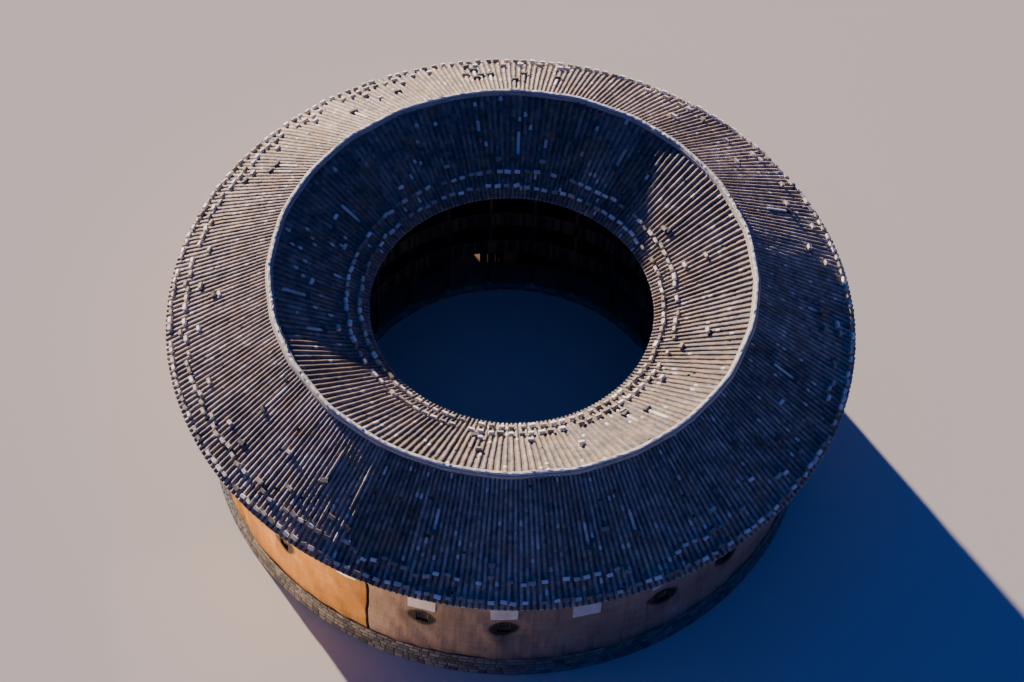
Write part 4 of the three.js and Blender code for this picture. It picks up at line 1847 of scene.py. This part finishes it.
@dataclass
class Galleries:
    """Posts, beams, parapets, joists and room fronts round the court."""

    workshop: Workshop
    post: float = 0.19
    base_height: float = 0.22
    parapet_height: float = 0.88
    boards_a_bay: int = 15
    joists_a_bay: int = 4
    kerbs_in_all: int = 96
    room_face: float = 10.99
    board_width: float = 0.19
    door_half: float = 0.39
    door_height: float = 1.85
    passage_half: float = 1.06
    passage_height: float = 2.5
    sill: float = 0.95
    lintel: float = 1.75

    def storeys(self) -> list[Storey]:
        """Lists the storeys with the underside of what closes each.

        Returns:
            The storeys, lowest first.
        """
        return [
            Storey("ground", HOUSE.platform_height, HOUSE.second_floor - 0.26),
            Storey("second", HOUSE.second_floor, HOUSE.third_floor - 0.26),
            Storey("third", HOUSE.third_floor, HOUSE.roof_height(9.48) - 0.47)
        ]

    def posts(self, storey: Storey) -> None:
        """Sets the posts of one storey, each with a cap block.

        Args:
            storey: The storey.
        """
        parts = Parts()
        half, middle = self.post / 2, HOUSE.post_radius
        base = storey.floor + (self.base_height if storey.name == "ground" else 0.002)
        parts.box((middle - half, middle + half), (-half, half), (base, storey.head + 0.06), 0.022)
        reach = (middle - half - 0.02, middle + half + 0.01)
        parts.box(reach, (-0.2, 0.2), (storey.head - 0.16, storey.head - 0.01), 0.02)
        self.workshop.around(
            storey.name + "_gallery_posts", parts, self.workshop.palette.timber, Slot.TIMBER,
            *storey.nodes("gallery"), first=HOUSE.bay / 2, seed=len(storey.name)
        )

    def post_stones(self) -> None:
        """Sets the round stones under the posts of the ground storey."""
        low = HOUSE.platform_height + 0.002
        drum = Parts()
        drum.add(
            lofted(
                *(
                    [(HOUSE.post_radius + size * math.cos(a), size * math.sin(a), level) for a in circle(10)]
                    for size, level in ((0.15, low), (0.17, low + 0.08), (0.14, low + self.base_height))
                )
            )
        )
        granite = self.workshop.palette.granite
        self.workshop.around("post_stones", drum, granite, Slot.PLATFORM, first=HOUSE.bay / 2)

    def beams(self) -> None:
        """Runs the ring beams, the parapets' rails and the plate under the roof."""
        parts = Parts()
        for floor in (HOUSE.second_floor, HOUSE.third_floor):
            top = floor + self.parapet_height
            for inner, outer, low, high, tone in (
                (9.5, 9.7, floor - 0.26, floor, 0.5), (9.42, 9.51, top - 0.07, top, 0.7),
                (9.46, 9.52, floor + 0.04, floor + 0.13, 0.4)
            ):
                parts.add(plain_ring([(inner, low), (outer, low), (outer, high), (inner, high)]), tone)
        top = HOUSE.roof_height(9.5) - 0.26
        parts.add(plain_ring([(9.5, top - 0.22), (9.7, top - 0.22), (9.7, top + 0.09), (9.5, top)]))
        parts.show("gallery_beams", self.workshop.palette.timber, Slot.TIMBER)

    def parapets(self) -> None:
        """Nails the upright boards of the two parapets."""
        for storey in self.storeys()[1:]:
            name, floor = storey.name, storey.floor
            board = Parts()
            board.box((9.43, 9.452), (-0.073, 0.073), (floor - 0.22, floor + self.parapet_height - 0.06))
            self.workshop.around(
                name + "_parapet_boards", board, self.workshop.palette.timber, Slot.TIMBER,
                count=self.boards_a_bay * HOUSE.bays, wander=(0.004, 0.002, 0.012), seed=len(name) + 12
            )

    def joists(self) -> None:
        """Lays the joists that carry each upper floor."""
        for storey in self.storeys()[1:]:
            name, top = storey.name, storey.floor - 0.162
            joist = Parts()
            joist.box((9.71, 15.24), (-0.05, 0.05), (top - 0.13, top), 0.01)
            self.workshop.around(
                name + "_floor_joists", joist, self.workshop.palette.timber, Slot.TIMBER,
                count=self.joists_a_bay * HOUSE.bays, first=HOUSE.bay / 8, wander=(0.0, 0.03, 0.0),
                seed=len(name) + 20
            )

    def room_front(self, storey: Storey, passage: bool) -> Parts:
        """One bay of the timber wall between the rooms and the gallery.

        Args:
            storey: The storey.
            passage: Whether this is the wide passage behind the gateway.

        Returns:
            The bay as it stands on the +X side.
        """
        parts = Parts()
        face = self.room_face
        half = face * math.tan(HOUSE.bay / 2)
        edge = half - 0.06
        low = storey.floor + 0.003
        if storey.name == "third":
            top, rail = HOUSE.roof_height(face) - 0.27, storey.floor + 2.2
        else:
            top = storey.head + 0.26 - 0.165
            rail = top - 0.14
        door = self.passage_half if passage else self.door_half
        head = storey.floor + (self.passage_height if passage else self.door_height)
        sill, lintel = storey.floor + self.sill, storey.floor + self.lintel
        over = rail + 0.12
        frame, plank = (face - 0.01, face + 0.1), (face + 0.045, face + 0.075)
        parts.box((face, face + 0.12), (-half - 0.06, -edge), (low, top), 0.015, 0.4)
        parts.box((face + 0.01, face + 0.1), (-edge, edge), (rail, over), tone=0.4)
        for side in (-1, 1):
            parts.box(frame, sorted((side * door, side * (door + 0.08))), (low, rail), 0.012, 0.4)
        parts.box(frame, (-door, door), (head, head + 0.09), 0.012, 0.4)
        start = door + 0.085
        boards = int((edge - start) / self.board_width)
        width = (edge - start) / boards
        for side in (-1, 1):
            for i in range(boards):
                y = sorted((side * (start + i * width), side * (start + (i + 1) * width - 0.004)))
                if not passage and 0.3 < (i + 0.5) / boards < 0.95 and side > 0:
                    parts.box(plank, y, (low, sill))
                    parts.box((face + 0.065, face + 0.09), y, (sill, lintel))
                    parts.box(plank, y, (lintel, rail))
                else:
                    parts.box(plank, y, (low, rail))
        if not passage:
            near, far = (start + share * (edge - start) for share in (0.28, 0.97))
            for z in ((sill - 0.05, sill), (lintel, lintel + 0.05)):
                parts.box((face, face + 0.09), (near, far), z, 0.01)
            for i in range(9):
                y = near + 0.03 + (far - near - 0.06) * i / 8
                parts.box((face + 0.02, face + 0.05), (y - 0.012, y + 0.012), (sill, lintel))
        if rail - head - 0.09 > 0.05:
            parts.box(plank, (-door, door), (head + 0.09, rail))
        if top - rail > 0.3:
            parts.box(plank, (-edge, edge), (over, top))
            for i in range(1, 8):
                y = -edge + 2 * edge * i / 8
                parts.box((face + 0.03, face + 0.045), (y - 0.02, y + 0.02), (over, top))
        return parts

    def room_fronts(self, storey: Storey) -> None:
        """Sets the fronts of all the rooms of one storey.

        Args:
            storey: The storey.
        """
        timber = self.workshop.palette.timber
        ground = storey.name == "ground"
        self.workshop.around(
            storey.name + "_room_fronts", self.room_front(storey, False), timber, Slot.TIMBER,
            *storey.nodes("room_wall"), count=HOUSE.bays - 1 if ground else HOUSE.bays, step=HOUSE.bay,
            first=HOUSE.gate_angle + HOUSE.bay if ground else 0.0, seed=len(storey.name) + 30
        )
        if ground:
            passage = self.room_front(storey, True)
            self.workshop.around(
                "passage_front", passage, timber, Slot.TIMBER, count=1, first=HOUSE.gate_angle
            )

    def kerbs(self) -> None:
        """Lays the kerb stones at the edge of the platform."""
        kerb = Parts()
        half = (FULL_TURN * 9.33 / self.kerbs_in_all - 0.012) / 2
        kerb.box((9.19, 9.5), (-half, half), (0.006, 0.215), 0.012)
        self.workshop.around(
            "platform_kerbs", kerb, self.workshop.palette.granite, Slot.PLATFORM, count=self.kerbs_in_all,
            wander=(0.006, 0.0, 0.004), seed=6
        )

    def build(self, solids: dict[str, bpy.types.Object]) -> None:
        """Builds the court side and gives the kept solids their finishes.

        Args:
            solids: The frame's solids by their names.
        """
        for storey in self.storeys():
            self.posts(storey)
            if storey.name == "ground":
                self.post_stones()
            self.room_fronts(storey)
        self.beams()
        self.parapets()
        self.joists()
        self.kerbs()
        palette = self.workshop.palette
        for name, solid in solids.items():
            if "_floor_" in name or name == "ground_platform":
                solid.data.materials.clear()
                solid.data.materials.append(palette.boards if "_floor_" in name else palette.trodden)


# Stage


def hang(lamp: bpy.types.Light, toward: Vector) -> bpy.types.Object:
    """Puts a lamp into the scene, shining against a direction.

    Args:
        lamp: The lamp.
        toward: The direction, from what is lit to the lamp.

    Returns:
        The object that holds the lamp.
    """
    holder = link_piece(lamp.name, lamp)
    holder.rotation_mode = "QUATERNION"
    holder.rotation_quaternion = toward.to_track_quat("Z", "Y")
    return holder


@dataclass
class Studio:
    """The pale floor, the soft light and the camera."""

    camera_place: Point = (-21.95, -76.91, 113.84)
    aim: Point = (0.2, 0.4, 6.6)
    lens: float = 86.0
    photo_pitch: float = math.radians(44.64)
    photo_roll: float = math.radians(-5.46)
    photo_bearing: float = math.radians(-5.6)
    sun: tuple[float, float] = (math.radians(109.4), math.radians(14.5))
    sun_strength: float = 13.8
    fill: tuple[float, float] = (math.radians(195), math.radians(5))
    fill_strength: float = 0.035
    bounce_place: Point = (-25.4, -9.2, 0.9)
    bounce_aim: Point = (-12.5, -10.2, 5.0)
    bounce_size: tuple[float, float] = (10.0, 1.6)
    bounce_power: float = 900.0
    sky: str = "#3474ff"
    sky_strength: float = 0.29
    floor_half: float = 400.0
    floor_level: float = -0.004

    def floor(self) -> None:
        """Lays a pale, plain floor."""
        mesh = bpy.data.meshes.new("studio_floor")
        half = self.floor_half
        corners = [(x * half, y * half, self.floor_level) for x, y in ((-1, -1), (1, -1), (1, 1), (-1, 1))]
        mesh.from_pydata(corners, [], [(0, 1, 2, 3)])
        material, shader = blank_material("studio_floor", 0.95)
        shader.inputs["Base Color"].default_value = linear("#c9c6c0")
        mesh.materials.append(material)
        link_piece("studio_floor", mesh)

    def lights(self) -> None:
        """Sets a low soft sun behind the house, a cool light from above and a panel by the wall."""
        for name, (bearing, height), energy, spread, colour in (
            ("key", self.sun, self.sun_strength, 1.2, "#ffe7d1"),
            ("fill", self.fill, self.fill_strength, 30.0, "#ffe9d2")
        ):
            lamp = bpy.data.lights.new(name, "SUN")
            lamp.energy, lamp.angle, lamp.color = energy, math.radians(spread), linear(colour)[:3]
            hang(lamp, Vector(on_ring(math.cos(height), bearing, math.sin(height))))
        panel = bpy.data.lights.new("bounce", "AREA")
        panel.shape = "RECTANGLE"
        panel.size, panel.size_y = self.bounce_size
        panel.energy, panel.spread, panel.color = self.bounce_power, math.radians(60), linear("#ffd3a2")[:3]
        holder = hang(panel, Vector(self.bounce_place) - Vector(self.bounce_aim))
        holder.location = self.bounce_place
        holder.visible_camera = False
        world = bpy.data.worlds.new("studio")
        world.use_nodes = True
        background = world.node_tree.nodes["Background"].inputs
        background["Color"].default_value = linear(self.sky)
        background["Strength"].default_value = self.sky_strength
        bpy.context.scene.world = world

    def camera(self) -> None:
        """Places the camera at the photograph's viewpoint, aimed at the house."""
        forward, upward = math.sin(self.photo_pitch), math.cos(self.photo_pitch)
        across, lift = math.cos(self.photo_roll), math.sin(self.photo_roll)
        turn = Matrix.Rotation(self.photo_bearing, 3, "Z")
        right = turn @ Vector((across, forward * lift, upward * lift))
        up = turn @ Vector((-lift, forward * across, upward * across))
        back = (Vector(self.camera_place) - Vector(self.aim)).normalized()
        swing = up.cross(right).rotation_difference(-back)
        data = bpy.data.cameras.new("camera")
        data.lens, data.sensor_width = self.lens, 36.0
        data.clip_start, data.clip_end = 1.0, 1000.0
        holder = link_piece("camera", data)
        axes = Matrix((swing @ right, swing @ up, back)).transposed().to_4x4()
        holder.matrix_world = Matrix.Translation(self.camera_place) @ axes
        bpy.context.scene.camera = holder

    def build(self) -> None:
        """Builds the stage."""
        self.floor()
        self.lights()
        self.camera()


def main() -> None:
    """Builds the scene."""
    logging.basicConfig(level=logging.INFO, format="%(name)s %(message)s")
    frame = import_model()
    Studio().build()
    workshop = Workshop()
    TiledRoof(workshop).build()
    EarthWall(workshop).build()
    StonePlinth(workshop).build()
    Gateway(workshop).build()
    Galleries(workshop).build(frame["nodes"])


if __name__ == "__main__":
    main()
